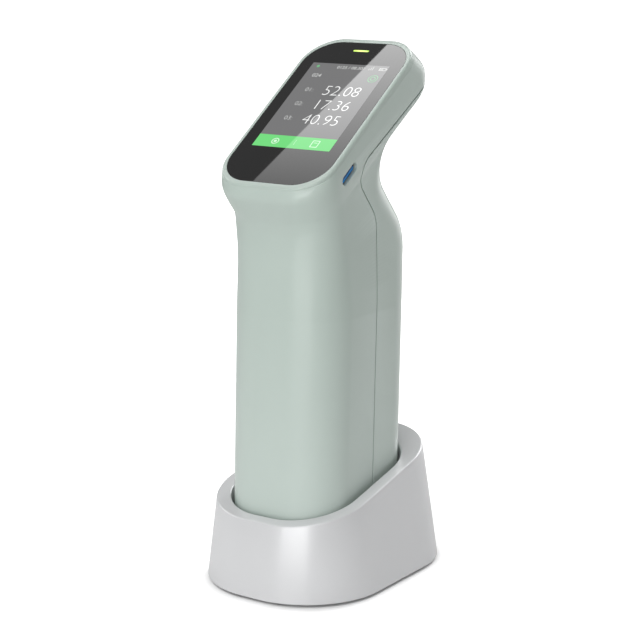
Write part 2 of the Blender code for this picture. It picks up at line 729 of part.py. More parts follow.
def screw(length):
    """A pan-head screw: tip at the bottom, head on top."""
    tip = SCREW_RADIUS / 2
    return lathe(
        [
            (tip, 0),
            (SCREW_RADIUS, tip),
            (SCREW_RADIUS, length),
            (SCREW_HEAD_RADIUS, length),
            (SCREW_HEAD_RADIUS, length + SCREW_HEAD_HEIGHT / 2),
            (SCREW_HEAD_RADIUS - SCREW_HEAD_HEIGHT / 2, length + SCREW_HEAD_HEIGHT),
        ],
        closed=False,
        steps=SMALL_ROUND_STEPS,
    )


def screw_hole(length, deep):
    """The space a screw takes with its clearance, running on past its head."""
    return lathe(
        [
            (SCREW_RADIUS + GAP, -GAP),
            (SCREW_RADIUS + GAP, length - GAP),
            (SCREW_HEAD_RADIUS + GAP, length - GAP),
            (SCREW_HEAD_RADIUS + GAP, length + SCREW_HEAD_HEIGHT + deep),
        ],
        closed=False,
        steps=SMALL_ROUND_STEPS,
    )


FOOT_SCREW_SPOTS = corner_spots(FOOT_BOSS_SIDE, FOOT_BOSS_ALONG, SCREW_HEAD_HEIGHT + PLATE_SCREW_LENGTH)


def handle_screw_holes():
    """All screw holes of the instrument in one cutter."""
    holes = [moved(screw_hole(SHELL_SCREW_LENGTH, HANDLE_DEPTH), spot) for spot in shell_screw_spots()]
    holes += [moved(screw_hole(PLATE_SCREW_LENGTH, OVERRUN), spot) for spot in FOOT_SCREW_SPOTS]
    return helper("handle_screw_holes", merged(holes), DARK_PLASTIC, INSTRUMENT)


def boss_group(name, sign):
    """The bosses of one shell, cut off inside its wall: sign -1 for the front one, 1 for the rear one."""
    pieces = []
    if sign < 0:
        depths = (-HEAD_BOSS_DEPTH, -GLASS_SEAT - LEDGE / 2)
    else:
        depths = (-HEAD_THICKNESS, -HEAD_BOSS_DEPTH - GAP)
    for side in (-1, 1):
        along = Matrix.Translation((side * HANDLE_BOSS_SIDE, SEAM_BACK + sign * GAP / 2, HANDLE_BOSS_HEIGHT))
        turn = Matrix.Rotation(-sign * math.pi / 2, 4, "X")
        pieces.append(moved(prism(circle(BOSS_RADIUS), 0, (HANDLE_DEPTH - GAP) / 2), along @ turn))
        in_head = shifted(circle(BOSS_RADIUS), side * HEAD_BOSS_SIDE, HEAD_BOSS_UP)
        pieces.append(moved(prism(in_head, *depths), IN_HEAD))
        foot = shifted(circle(FOOT_BOSS_RADIUS), side * FOOT_BOSS_SIDE, sign * FOOT_BOSS_ALONG)
        pieces.append(prism(foot, FOOT_THICKNESS + GAP, FOOT_THICKNESS + GAP + FOOT_BOSS_HEIGHT))
    bosses = helper(name, merged(pieces), DARK_PLASTIC, INSTRUMENT)
    combine(bosses, "UNION", boss_webs(name + "_webs", sign))
    combine(bosses, "INTERSECT", WALL_TRIM)
    return bosses


def boss_webs(name, sign):
    """Ribs that tie the long bosses and those of the foot to the side walls."""
    webs = []
    length = (HANDLE_DEPTH - GAP) / 2
    for side in (-1, 1):
        points = box_outline(HANDLE_BOSS_IN, length)
        spot = (side * (HANDLE_WIDTH - HANDLE_BOSS_IN) / 2, SEAM_BACK + sign * (GAP + length) / 2)
        low = HANDLE_BOSS_HEIGHT - BOSS_WEB / 2
        webs.append(prism(shifted(points, *spot), low, low + BOSS_WEB))
        points = box_outline(HANDLE_WIDTH / 2 - FOOT_BOSS_SIDE, BOSS_WEB)
        spot = (side * (HANDLE_WIDTH / 2 + FOOT_BOSS_SIDE) / 2, sign * FOOT_BOSS_ALONG)
        low = FOOT_THICKNESS + GAP
        webs.append(prism(shifted(points, *spot), low, low + FOOT_BOSS_HEIGHT))
    return helper(name, merged(webs), DARK_PLASTIC, INSTRUMENT)


def key_cutter():
    """The slot for the side key, and the flat seat of its flange inside the wall."""
    slot = stadium(KEY_LENGTH, KEY_WIDTH)
    seat = stadium(KEY_LENGTH + 2 * KEY_FLANGE + 2 * GAP, KEY_WIDTH + 2 * KEY_FLANGE + 2 * GAP)
    solid = stacked(
        [
            (seat, KEY_INNER - OVERRUN),
            (seat, KEY_WALL - WALL),
            (slot, KEY_WALL - WALL),
            (slot, KEY_WALL + OVERRUN),
        ]
    )
    return helper("key_cutter", moved(solid, SIDEWAYS), BLUE, HEAD, (0, -KEY_LOWER, -KEY_DEPTH))


def socket_cutter():
    port = stadium(SOCKET_WIDTH + 2 * GAP, SOCKET_HEIGHT + 2 * GAP)
    solid = prism(port, -SOCKET_WALL_REACH - OVERRUN, -SOCKET_WALL_REACH + 2 * OVERRUN)
    return helper("socket_cutter", moved(solid, SIDEWAYS), STEEL, HEAD, (0, -KEY_LOWER, -SOCKET_DEPTH))


def light_cutter():
    slot = stadium(LIGHT_WIDTH + 2 * GAP, LIGHT_HEIGHT + 2 * GAP)
    solid = prism(slot, -BOARD_TOP, -GLASS_THICKNESS)
    return helper("light_cutter", solid, LIGHT, HEAD, (0, LIGHT_RAISE, 0))


def housing():
    """The two moulded shells: one housing, split along the seam, with bosses, screw holes and ports."""
    front = place("front_shell", housing_mesh(), SAGE, INSTRUMENT)
    combine(front, "DIFFERENCE", helper("seam_front", seam_block(-GAP / 2), SAGE, INSTRUMENT))
    combine(front, "UNION", boss_group("front_bosses", -1))
    rear = place("rear_shell", housing_mesh(), SAGE, INSTRUMENT)
    combine(rear, "INTERSECT", helper("seam_rear", seam_block(GAP / 2), SAGE, INSTRUMENT))
    combine(rear, "UNION", boss_group("rear_bosses", 1))
    holes = handle_screw_holes()
    for shell in (front, rear):
        combine(shell, "DIFFERENCE", holes)
    combine(front, "DIFFERENCE", KEY_CUTTER)
    combine(front, "DIFFERENCE", socket_cutter())
    combine(front, "DIFFERENCE", LIGHT_CUTTER)


def glass_and_display():
    glass = prism(round_outline(GLASS_WIDTH / 2, GLASS_LENGTH / 2, GLASS_CORNER), -GLASS_THICKNESS, 0)
    place("cover_glass", glass, BLACK_GLASS, HEAD)

    half_width = GLASS_WIDTH / 2 - GASKET_INSET
    outer = round_outline(half_width, GLASS_LENGTH / 2 - GASKET_INSET, GLASS_CORNER - GASKET_INSET)
    inner = shifted(round_outline(*WINDOW), 0, DISPLAY_RAISE)
    top = -GLASS_THICKNESS - GAP
    bottom = top - GASKET_THICKNESS
    rings = [flat_ring(outer, bottom), flat_ring(outer, top), flat_ring(inner, top), flat_ring(inner, bottom)]
    gasket = place("glass_gasket", loft(rings, closed=True), FOAM, HEAD)
    combine(gasket, "DIFFERENCE", LIGHT_CUTTER)

    panel = round_outline(PANEL_HALF_WIDTH, PANEL_HALF_LENGTH, PANEL_CORNER)
    solid = prism(panel, -PANEL_TOP - PANEL_THICKNESS, -PANEL_TOP)
    place("display_panel", solid, SCREEN, HEAD, (0, DISPLAY_RAISE, 0))

    carrier = round_outline(*(size + CARRIER_LAP for size in WINDOW))
    carrier = prism(carrier, -CARRIER_TOP - CARRIER_THICKNESS, -CARRIER_TOP)
    place("display_carrier", carrier, DARK_PLASTIC, HEAD, (0, DISPLAY_RAISE, 0))

    light = prism(stadium(LIGHT_WIDTH, LIGHT_HEIGHT), GAP - BOARD_TOP, -PANEL_TOP)
    place("status_light", light, LIGHT, HEAD, (0, LIGHT_RAISE, 0))


def main_board():
    """The board behind the display, with a tongue under the status light and a notch for the key's switch."""
    length = BOARD_LOW + BOARD_HIGH
    body = round_outline(BOARD_WIDTH / 2, length / 2, BOARD_CORNER)
    body = shifted(body, 0, (BOARD_HIGH - BOARD_LOW) / 2)
    board = place("main_board", prism(body, -BOARD_BACK, -BOARD_TOP), BOARD_GREEN, HEAD)
    tongue = box_outline(BOARD_TONGUE_WIDTH, 2 * BOARD_TONGUE_HIGH - length)
    tongue = shifted(tongue, 0, length / 2)
    combine(board, "UNION", helper("board_tongue", prism(tongue, -BOARD_BACK, -BOARD_TOP), BOARD_GREEN, HEAD))
    chips = []
    for row in range(CHIP_ROWS):
        for column in (-1, 1):
            spot = (column * CHIP_PITCH / 2, row * CHIP_PITCH - CHIP_PITCH / 2)
            chip = shifted(box_outline(CHIP_SIZE, CHIP_SIZE), *spot)
            chips.append(prism(chip, -BOARD_BACK - CHIP_HEIGHT, -BOARD_BACK + CHIP_SINK))
    combine(board, "UNION", helper("board_chips", merged(chips), DARK_PLASTIC, HEAD))
    notch = box_outline(2 * BOARD_NOTCH, SWITCH_SIZE + 2 * GAP)
    notch = prism(notch, -BOARD_BACK - OVERRUN, -BOARD_TOP + OVERRUN)
    edge = (BOARD_WIDTH / 2, -KEY_LOWER, 0)
    combine(board, "DIFFERENCE", helper("board_notch", notch, BOARD_GREEN, HEAD, edge))


def side_key():
    """The blue key, sunk in its slot and held in by a flange, with the plunger and switch behind it."""
    body_length = KEY_LENGTH - 2 * KEY_FIT
    body_width = KEY_WIDTH - 2 * KEY_FIT
    flange = stadium(body_length + 2 * KEY_FLANGE, body_width + 2 * KEY_FLANGE)
    face = KEY_WALL - KEY_SUNK
    body = stadium(body_length, body_width)
    levels = [(flange, KEY_INNER), (flange, KEY_FLANGE_OUT), (body, KEY_FLANGE_OUT)]
    for step in range(EDGE_STEPS + 1):
        angle = step / EDGE_STEPS * math.pi / 2
        drawn = 2 * KEY_CROWN * (1 - math.cos(angle))
        height = face - KEY_CROWN * (1 - math.sin(angle))
        levels.append((stadium(body_length - drawn, body_width - drawn), height))
    levels = [(points, height - KEY_WALL) for points, height in levels]
    place("side_key", moved(stacked(levels), SIDEWAYS), BLUE, HEAD, (KEY_WALL, -KEY_LOWER, -KEY_DEPTH))

    middle = (0, -KEY_LOWER, -KEY_DEPTH)
    plunger = prism(circle(PLUNGER_RADIUS, SMALL_ROUND_STEPS), SWITCH_OUTER - PLUNGER_SINK, KEY_INNER - GAP)
    place("key_plunger", moved(plunger, SIDEWAYS), DARK_PLASTIC, HEAD, middle)
    body = prism(box_outline(SWITCH_SIZE, SWITCH_SIZE), SWITCH_INNER, SWITCH_OUTER)
    switch = place("key_switch", moved(body, SIDEWAYS), STEEL, HEAD, middle)
    deep = PLUNGER_SINK + KEY_TRAVEL + GAP
    bore = prism(circle(PLUNGER_RADIUS + GAP, SMALL_ROUND_STEPS), SWITCH_OUTER - deep, SWITCH_OUTER + OVERRUN)
    combine(switch, "DIFFERENCE", helper("switch_bore", moved(bore, SIDEWAYS), STEEL, HEAD, middle))


def charging_socket():
    """A reversible charging and data socket on the hidden left side, with its tongue."""
    mouth = -SOCKET_WALL_REACH + 2 * GAP
    back = mouth + SOCKET_LENGTH
    outer = stadium(SOCKET_WIDTH, SOCKET_HEIGHT)
    inner = stadium(SOCKET_WIDTH - 2 * SOCKET_WALL, SOCKET_HEIGHT - 2 * SOCKET_WALL)
    cup = stacked([(outer, back), (outer, mouth), (inner, mouth), (inner, back - SOCKET_BACK)])
    middle = (0, -KEY_LOWER, -SOCKET_DEPTH)
    socket = place("charging_socket", moved(cup, SIDEWAYS), STEEL, HEAD, middle)
    tongue = prism(box_outline(TONGUE_WIDTH, TONGUE_THICKNESS), mouth + TONGUE_SUNK, back - SOCKET_BACK / 2)
    combine(socket, "UNION", helper("socket_tongue", moved(tongue, SIDEWAYS), STEEL, HEAD, middle))


def foot_plate():
    """The cap of the handle's foot, recessed for the aperture ring and slotted for its lugs."""
    plate = prism(handle_outline(WALL + GAP), 0, FOOT_THICKNESS)
    foot = place("foot_plate", plate, DARK_PLASTIC, INSTRUMENT)
    recess = RING_FLANGE - RING_PROUD + GAP
    bore = stacked(
        [
            (circle(RING_RADIUS + GAP), -OVERRUN),
            (circle(RING_RADIUS + GAP), recess),
            (circle(RING_NECK_RADIUS + GAP), recess),
            (circle(RING_NECK_RADIUS + GAP), FOOT_THICKNESS + OVERRUN),
        ]
    )
    combine(foot, "DIFFERENCE", helper("foot_bore", bore, DARK_PLASTIC, INSTRUMENT))
    reach = RING_NECK_RADIUS + LUG_REACH + 2 * GAP
    slots = prism(box_outline(2 * reach, LUG_WIDTH + 4 * GAP), -OVERRUN, FOOT_THICKNESS + OVERRUN)
    turned = moved(slots, Matrix.Rotation(-UNLOCK_TURN, 4, "Z"))
    combine(foot, "DIFFERENCE", helper("lug_slots", turned, DARK_PLASTIC, INSTRUMENT))
    holes = merged([moved(screw_hole(PLATE_SCREW_LENGTH, OVERRUN), spot) for spot in FOOT_SCREW_SPOTS])
    combine(foot, "DIFFERENCE", helper("foot_screw_holes", holes, DARK_PLASTIC, INSTRUMENT))


def aperture_ring():
    """The interchangeable ring that sets the measured spot: two lugs lock it behind the foot plate."""
    low = -RING_PROUD
    profile = [
        (APERTURE_RADIUS, low),
        (APERTURE_RADIUS, low + APERTURE_LIP),
        (PORT_RADIUS, LUG_HIGH),
        (RING_NECK_RADIUS, LUG_HIGH),
        (RING_NECK_RADIUS, low + RING_FLANGE),
        (RING_RADIUS, low + RING_FLANGE),
        (RING_RADIUS, low + APERTURE_LIP),
        (RING_RADIUS - APERTURE_LIP, low),
    ]
    ring = place("aperture_ring", lathe(profile), ANODISED, INSTRUMENT)
    lugs = []
    grips = []
    for side in (-1, 1):
        length = LUG_REACH + APERTURE_LIP
        middle = side * (RING_NECK_RADIUS + LUG_REACH - length / 2)
        lugs.append(prism(shifted(box_outline(length, LUG_WIDTH), middle, 0), LUG_LOW, LUG_HIGH))
        grip = box_outline(RING_GRIP_WIDTH, 2 * RING_GRIP_WIDTH)
        grips.append(prism(shifted(grip, 0, side * RING_RADIUS), low - OVERRUN, low + RING_GRIP_DEPTH))
    combine(ring, "UNION", helper("ring_lugs", merged(lugs), ANODISED, INSTRUMENT))
    combine(ring, "DIFFERENCE", helper("ring_grips", merged(grips), ANODISED, INSTRUMENT))


def integrating_sphere():
    """Two flanged halves of a hollow sphere: a port at the foot, a neck on top and a ring of lamp ports."""
    middle = (0, 0, SPHERE_HEIGHT)
    flange_angle = math.asin(FLANGE_THICKNESS / SPHERE_RADIUS)
    rim_angle = math.asin(GAP / 2 / SPHERE_INNER)
    collar_inner = RING_NECK_RADIUS + LUG_REACH + 2 * GAP
    collar_outer = collar_inner + COLLAR_WALL
    foot = FOOT_THICKNESS + GAP - SPHERE_HEIGHT
    floor = PORT_FLOOR - SPHERE_HEIGHT
    lower = [
        (SPHERE_RADIUS + FLANGE_REACH, -GAP / 2),
        (SPHERE_RADIUS + FLANGE_REACH, -FLANGE_THICKNESS),
        *arc(SPHERE_RADIUS, -flange_angle, -math.acos(collar_outer / SPHERE_RADIUS)),
        (collar_outer, foot),
        (collar_inner, foot),
        (collar_inner, floor),
        (PORT_RADIUS, floor),
        *arc(SPHERE_INNER, -math.acos(PORT_RADIUS / SPHERE_INNER), -rim_angle),
    ]
    place("sphere_lower", lathe(lower), GREY_PLASTIC, INSTRUMENT, middle)
    top = SPHERE_TOP - SPHERE_HEIGHT
    upper = [
        *arc(SPHERE_INNER, rim_angle, math.acos(NECK_BORE / SPHERE_INNER)),
        (NECK_BORE, top + NECK_HEIGHT),
        (NECK_RADIUS, top + NECK_HEIGHT),
        (NECK_RADIUS, top),
        (LAMP_BOARD_RADIUS, top),
        *arc(SPHERE_RADIUS, math.acos(LAMP_BOARD_RADIUS / SPHERE_RADIUS), flange_angle),
        (SPHERE_RADIUS + FLANGE_REACH, FLANGE_THICKNESS),
        (SPHERE_RADIUS + FLANGE_REACH, GAP / 2),
    ]
    sphere = place("sphere_upper", lathe(upper), GREY_PLASTIC, INSTRUMENT, middle)
    ports = lamp_ring(LAMP_RADIUS + 2 * GAP, SPHERE_HEIGHT + SPHERE_INNER / 2, SPHERE_TOP + OVERRUN)
    combine(sphere, "DIFFERENCE", helper("lamp_ports", ports, GREY_PLASTIC, INSTRUMENT))


def lamp_ring(radius, low, high):
    """One upright cylinder for each lamp."""
    turn = 2 * math.pi / LAMP_COUNT
    spots = [(LAMP_CIRCLE * math.cos(k * turn), LAMP_CIRCLE * math.sin(k * turn)) for k in range(LAMP_COUNT)]
    return merged([prism(shifted(circle(radius, SMALL_ROUND_STEPS), *spot), low, high) for spot in spots])


def lamp_board():
    inner = NECK_RADIUS + 2 * GAP
    high = LAMP_BOARD_LOW + BOARD_THICKNESS
    profile = [
        (inner, LAMP_BOARD_LOW),
        (LAMP_BOARD_RADIUS, LAMP_BOARD_LOW),
        (LAMP_BOARD_RADIUS, high),
        (inner, high),
    ]
    board = place("lamp_board", lathe(profile), BOARD_GREEN, INSTRUMENT)
    lamps = lamp_ring(LAMP_RADIUS, LAMP_BOARD_LOW - LAMP_HEIGHT, LAMP_BOARD_LOW + CHIP_SINK)
    combine(board, "UNION", helper("lamps", lamps, WHITE_COAT, INSTRUMENT))


def inner_frame():
    """Two decks across the handle, tied by a spine behind the spectrometer."""
    deck = handle_outline(WALL + DECK_FIT)
    frame = place("inner_frame", prism(deck, DECK_LOW, DECK_TOP), GREY_PLASTIC, INSTRUMENT)
    upper = prism(deck, UPPER_DECK_LOW, UPPER_DECK_TOP)
    combine(frame, "UNION", helper("upper_deck", upper, GREY_PLASTIC, INSTRUMENT))
    spine_y = SPECTRO_BACK + GAP + DECK_THICKNESS / 2
    spine = shifted(box_outline(SPINE_WIDTH, DECK_THICKNESS), 0, spine_y)
    spine = prism(spine, DECK_LOW + DECK_THICKNESS / 2, UPPER_DECK_TOP - DECK_THICKNESS / 2)
    combine(frame, "UNION", helper("spine", spine, GREY_PLASTIC, INSTRUMENT))
    light_path = prism(circle(SNOUT_RADIUS + GAP), DECK_LOW - OVERRUN, DECK_TOP + OVERRUN)
    combine(frame, "DIFFERENCE", helper("light_path", light_path, GREY_PLASTIC, INSTRUMENT))
    slot = shifted(box_outline(RIBBON_WIDTH + 4 * GAP, RIBBON_THICKNESS + 4 * GAP), 0, RIBBON_BACK)
    slot = prism(slot, UPPER_DECK_LOW - OVERRUN, UPPER_DECK_TOP + OVERRUN)
    combine(frame, "DIFFERENCE", helper("ribbon_slot", slot, GREY_PLASTIC, INSTRUMENT))


def spectrometer():
    """A closed housing with one cut corner and a snout that looks down into the sphere."""
    half = SPECTRO_WIDTH / 2
    points = [
        (half, -SPECTRO_FRONT),
        (half, SPECTRO_BACK),
        (-half, SPECTRO_BACK),
        (-half, SPECTRO_CHAMFER - SPECTRO_FRONT),
        (SPECTRO_CHAMFER - half, -SPECTRO_FRONT),
    ]
    body = place("spectrometer", prism(points, SPECTRO_LOW, SPECTRO_TOP), ANODISED, INSTRUMENT)
    snout = prism(circle(SNOUT_RADIUS), DECK_LOW, SPECTRO_LOW + GAP)
    combine(body, "UNION", helper("snout", snout, ANODISED, INSTRUMENT))


def battery_pack():
    """Two round cells side by side in one wrap."""
    levels = []
    for high, steps in ((0, range(EDGE_STEPS, -1, -1)), (1, range(EDGE_STEPS + 1))):
        for step in steps:
            angle = step / EDGE_STEPS * math.pi / 2
            drawn = 2 * BATTERY_EDGE * (1 - math.cos(angle))
            lift = BATTERY_EDGE * (1 - math.sin(angle))
            height = BATTERY_LENGTH - lift if high else lift
            levels.append((stadium(2 * BATTERY_CELL - drawn, BATTERY_CELL - drawn), height))
    spot = (0, BATTERY_CELL / 2 - BATTERY_FRONT, BATTERY_LOW)
    place("battery_pack", stacked(levels), CELL_WRAP, INSTRUMENT, spot)


def beeper():
    low = UPPER_DECK_TOP + GAP
    profile = [
        (BEEPER_RADIUS, 0),
        (BEEPER_RADIUS, BEEPER_HEIGHT),
        (BEEPER_HOLE_RADIUS, BEEPER_HEIGHT),
        (BEEPER_HOLE_RADIUS, BEEPER_HEIGHT / 2),
    ]
    place("beeper", lathe(profile, closed=False), DARK_PLASTIC, INSTRUMENT, (0, BEEPER_BACK, low))


def ribbon_cable():
    """A flat cable from the spectrometer up to the back of the main board."""
    end = face_point(RIBBON_LAP - BOARD_LOW, BOARD_BACK + GAP + RIBBON_THICKNESS)
    corners = [(RIBBON_BACK, SPECTRO_TOP + GAP), (RIBBON_BACK, RIBBON_BEND_HEIGHT), end]
    path = bent_path(corners, [RIBBON_BEND_ROUND])
    strip = beside(path, -RIBBON_THICKNESS / 2) + list(reversed(beside(path, RIBBON_THICKNESS / 2)))
    place("ribbon_cable", slab(strip, RIBBON_WIDTH / 2), CABLE, INSTRUMENT)


def screws(name, length, spots, parent=None):
    """Like screws, one object each, all with the same mesh."""
    first = place(f"{name}_1", screw(length), STEEL, parent)
    first.matrix_local = spots[0]
    for number, spot in enumerate(spots[1:], start=2):
        copy = bpy.data.objects.new(f"{name}_{number}", first.data)
        bpy.context.scene.collection.objects.link(copy)
        copy.parent = parent
        copy.matrix_local = spot


def stand_pair(inset):
    """The stand's outer outline on the ground and on its slanted top, drawn in by an inset."""
    outlines = []
    sizes = (
        (STAND_WIDTH / 2, STAND_LENGTH / 2, STAND_GROUND_FLAT),
        (STAND_TOP_WIDTH / 2, STAND_TOP_LENGTH / 2, STAND_TOP_FLAT),
    )
    for half_width, half_length, flat in sizes:
        outlines.append(round_outline(half_width - inset, half_length - inset, half_width - flat - inset))
    ground = [Vector((x, y, PAD_PROUD)) for x, y in outlines[0]]
    slope = math.tan(STAND_SLOPE)
    top = [Vector((x, y, STAND_MID_HEIGHT + slope * y)) for x, y in shifted(outlines[1], 0, -STAND_TOP_SHIFT)]
    return list(zip(ground, top))


def stand_ring(share, inset):
    """The stand's section at a share of its height, slanting more towards the top."""
    return [ground.lerp(top, share) for ground, top in stand_pair(inset)]


def stand_level(height, inset):
    """The stand's level section at one height."""
    ring = []
    for ground, top in stand_pair(inset):
        ring.append(ground.lerp(top, (height - ground.z) / (top.z - ground.z)))
    return ring


def well_ring(points, drop):
    """An outline in the instrument's axes, carried up to the slanted top less a drop."""
    slope = math.tan(STAND_SLOPE)
    rise = math.cos(LEAN) - slope * math.sin(LEAN)
    ring = []
    for x, y in points:
        behind = STAND_MID_HEIGHT - drop - FLOOR_HEIGHT - slope * AXIS_FORWARD
        height = (behind + y * (math.sin(LEAN) + slope * math.cos(LEAN))) / rise
        ring.append(IN_WELL @ Vector((x, y, height)))
    return ring


def well_level_ring(points, height):
    """An outline in the instrument's axes, at one height above the handle's foot."""
    return [IN_WELL @ Vector((x, y, height)) for x, y in points]


def well_outline(grow):
    """The well's opening: the handle's section with room round it, grown by a margin."""
    half_width = HANDLE_WIDTH / 2 + WELL_SIDE_GAP + grow
    half_length = HANDLE_DEPTH / 2 + WELL_END_GAP + grow
    return round_outline(half_width, half_length, half_width - WELL_FLAT)


def stand_shell():
    """One moulding: tapered wall, slanted top and the walls of the well that holds the handle's foot."""
    edge_share = STAND_EDGE / STAND_MID_HEIGHT
    steps = [step / EDGE_STEPS * math.pi / 2 for step in range(EDGE_STEPS + 1)]
    rings = [well_level_ring(well_outline(0), HOLDER_TOP - HOLDER_PLATE)]
    for angle in steps:
        drawn = WELL_EDGE * (1 - math.cos(angle))
        rings.append(well_ring(well_outline(drawn), WELL_EDGE * (1 - math.sin(angle))))
    for angle in reversed(steps):
        drawn = STAND_EDGE * (1 - math.cos(angle))
        rings.append(stand_ring(1 - edge_share * (1 - math.sin(angle)), drawn))
    for angle in steps:
        drawn = STAND_EDGE * (1 - math.cos(angle))
        rings.append(stand_level(PAD_PROUD + STAND_EDGE * (1 - math.sin(angle)), drawn))
    rings.append(stand_level(PAD_PROUD, STAND_WALL))
    rings.append(stand_ring(1 - STAND_WALL / STAND_MID_HEIGHT, STAND_WALL))
    rings.append(well_ring(well_outline(STAND_WALL), STAND_WALL))
    rings.append(well_level_ring(well_outline(STAND_WALL), HOLDER_TOP - HOLDER_PLATE))
    shell = place("stand_shell", loft(rings, closed=True), SILVER)
    trim = loft([stand_level(height, STAND_WALL / 2) for height in (0, FLOOR_HEIGHT + STAND_BOSS_HEIGHT)])
    trim = helper("stand_trim", trim, SILVER)
    for group in (stand_bosses(), stand_webs()):
        combine(group, "INTERSECT", trim)
        combine(shell, "UNION", group)
    combine(shell, "DIFFERENCE", STAND_SCREW_HOLES)


def stand_bosses():
    low = PAD_PROUD + BASE_THICKNESS + GAP
    bosses = []
    for side in (-1, 1):
        for end in (-1, 1):
            spot = (side * STAND_BOSS_SIDE, end * STAND_BOSS_ALONG)
            bosses.append(prism(shifted(circle(STAND_BOSS_RADIUS), *spot), low, low + STAND_BOSS_HEIGHT))
    return helper("stand_bosses", merged(bosses), SILVER)


def stand_webs():
    """Ribs that tie the stand's bosses to its side walls."""
    low = PAD_PROUD + BASE_THICKNESS + 2 * GAP
    length = STAND_WIDTH / 2 - STAND_BOSS_SIDE
    middle = STAND_BOSS_SIDE + length / 2
    webs = []
    for side in (-1, 1):
        for end in (-1, 1):
            web = shifted(box_outline(length, STAND_BOSS_WEB), side * middle, end * STAND_BOSS_ALONG)
            webs.append(prism(web, low, low + STAND_BOSS_HEIGHT - 2 * GAP))
    return helper("stand_webs", merged(webs), SILVER)


def stand_base():
    """The plate that closes the stand from below, with a post under the tile and seats for the feet."""
    levels = (PAD_PROUD, PAD_PROUD + BASE_THICKNESS)
    rings = [stand_level(height, STAND_WALL + 3 * GAP) for height in levels]
    plate = place("stand_base", loft(rings), DARK_PLASTIC)
    post_top = HOLDER_TOP - TILE_THICKNESS - 2 * GAP - HOLDER_FLOOR
    post = prism(circle(BASE_POST_RADIUS), PAD_PROUD + BASE_THICKNESS / 2 - FLOOR_HEIGHT, post_top)
    combine(plate, "UNION", helper("base_post", post, DARK_PLASTIC, WELL))
    seats = []
    for spot in PAD_SPOTS:
        seats.append(prism(shifted(circle(PAD_RADIUS + GAP), *spot), -OVERRUN, PAD_PROUD + PAD_SINK + GAP))
    combine(plate, "DIFFERENCE", helper("pad_seats", merged(seats), DARK_PLASTIC))
    combine(plate, "DIFFERENCE", STAND_SCREW_HOLES)


def stand_feet():
    profile = [(PAD_RADIUS - PAD_SINK, 0), (PAD_RADIUS, PAD_SINK), (PAD_RADIUS, PAD_PROUD + PAD_SINK)]
    for number, spot in enumerate(PAD_SPOTS, start=1):
        place(f"stand_foot_{number}", lathe(profile, closed=False), RUBBER, None, (*spot, 0))


def tile_and_holder():
    """The floor of the well, with the cup that holds the white tile under the aperture."""
    floor = HOLDER_TOP - TILE_THICKNESS - GAP
    plate = prism(well_outline(-GAP), HOLDER_TOP - HOLDER_PLATE, HOLDER_TOP)
    holder = place("tile_holder", plate, DARK_PLASTIC, WELL)
    cup = prism(circle(HOLDER_RADIUS), floor - HOLDER_FLOOR, HOLDER_TOP - HOLDER_PLATE / 2)
    combine(holder, "UNION", helper("tile_cup", cup, DARK_PLASTIC, WELL))
    pocket = prism(circle(TILE_RADIUS + GAP), floor, HOLDER_TOP + OVERRUN)
    combine(holder, "DIFFERENCE", helper("tile_pocket", pocket, DARK_PLASTIC, WELL))
    tile = [
        (TILE_RADIUS, HOLDER_TOP - TILE_THICKNESS),
        (TILE_RADIUS, HOLDER_TOP - GAP),
        (TILE_RADIUS - GAP, HOLDER_TOP),
    ]
    place("white_tile", lathe(tile, closed=False), CERAMIC, WELL)


PAD_SPOTS = [(side * PAD_SIDE, end * PAD_ALONG) for side in (-1, 1) for end in (-1, 1)]
STAND_SCREW_SPOTS = corner_spots(
    STAND_BOSS_SIDE, STAND_BOSS_ALONG, PAD_PROUD + SCREW_HEAD_HEIGHT + PLATE_SCREW_LENGTH
)
WALL_TRIM = helper("wall_trim", trim_mesh(), SAGE, INSTRUMENT)
KEY_CUTTER = key_cutter()
LIGHT_CUTTER = light_cutter()
STAND_SCREW_HOLES = helper(
    "stand_screw_holes",
    merged([moved(screw_hole(PLATE_SCREW_LENGTH, OVERRUN), spot) for spot in STAND_SCREW_SPOTS]),
    SILVER,
)

housing()
glass_and_display()
main_board()
side_key()
charging_socket()
foot_plate()
aperture_ring()
integrating_sphere()
lamp_board()
inner_frame()
spectrometer()
battery_pack()
beeper()
ribbon_cable()
screws("shell_screw", SHELL_SCREW_LENGTH, shell_screw_spots(), INSTRUMENT)
screws("foot_screw", PLATE_SCREW_LENGTH, FOOT_SCREW_SPOTS, INSTRUMENT)
stand_shell()
stand_base()
stand_feet()
tile_and_holder()
screws("stand_screw", PLATE_SCREW_LENGTH, STAND_SCREW_SPOTS)
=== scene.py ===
# %% [markdown]
# A hand-held colorimeter stands in its calibration stand. Its solids come in as a fixed frame, already in
# the right place and in metres. This lesson dresses that frame: it makes the smooth mouldings again as fine
# meshes, adds the glass, the lit display and the key, and gives every piece a finish.

# %% Load the frame
import json
import math

import bmesh
import bpy
from mathutils import Matrix, Vector

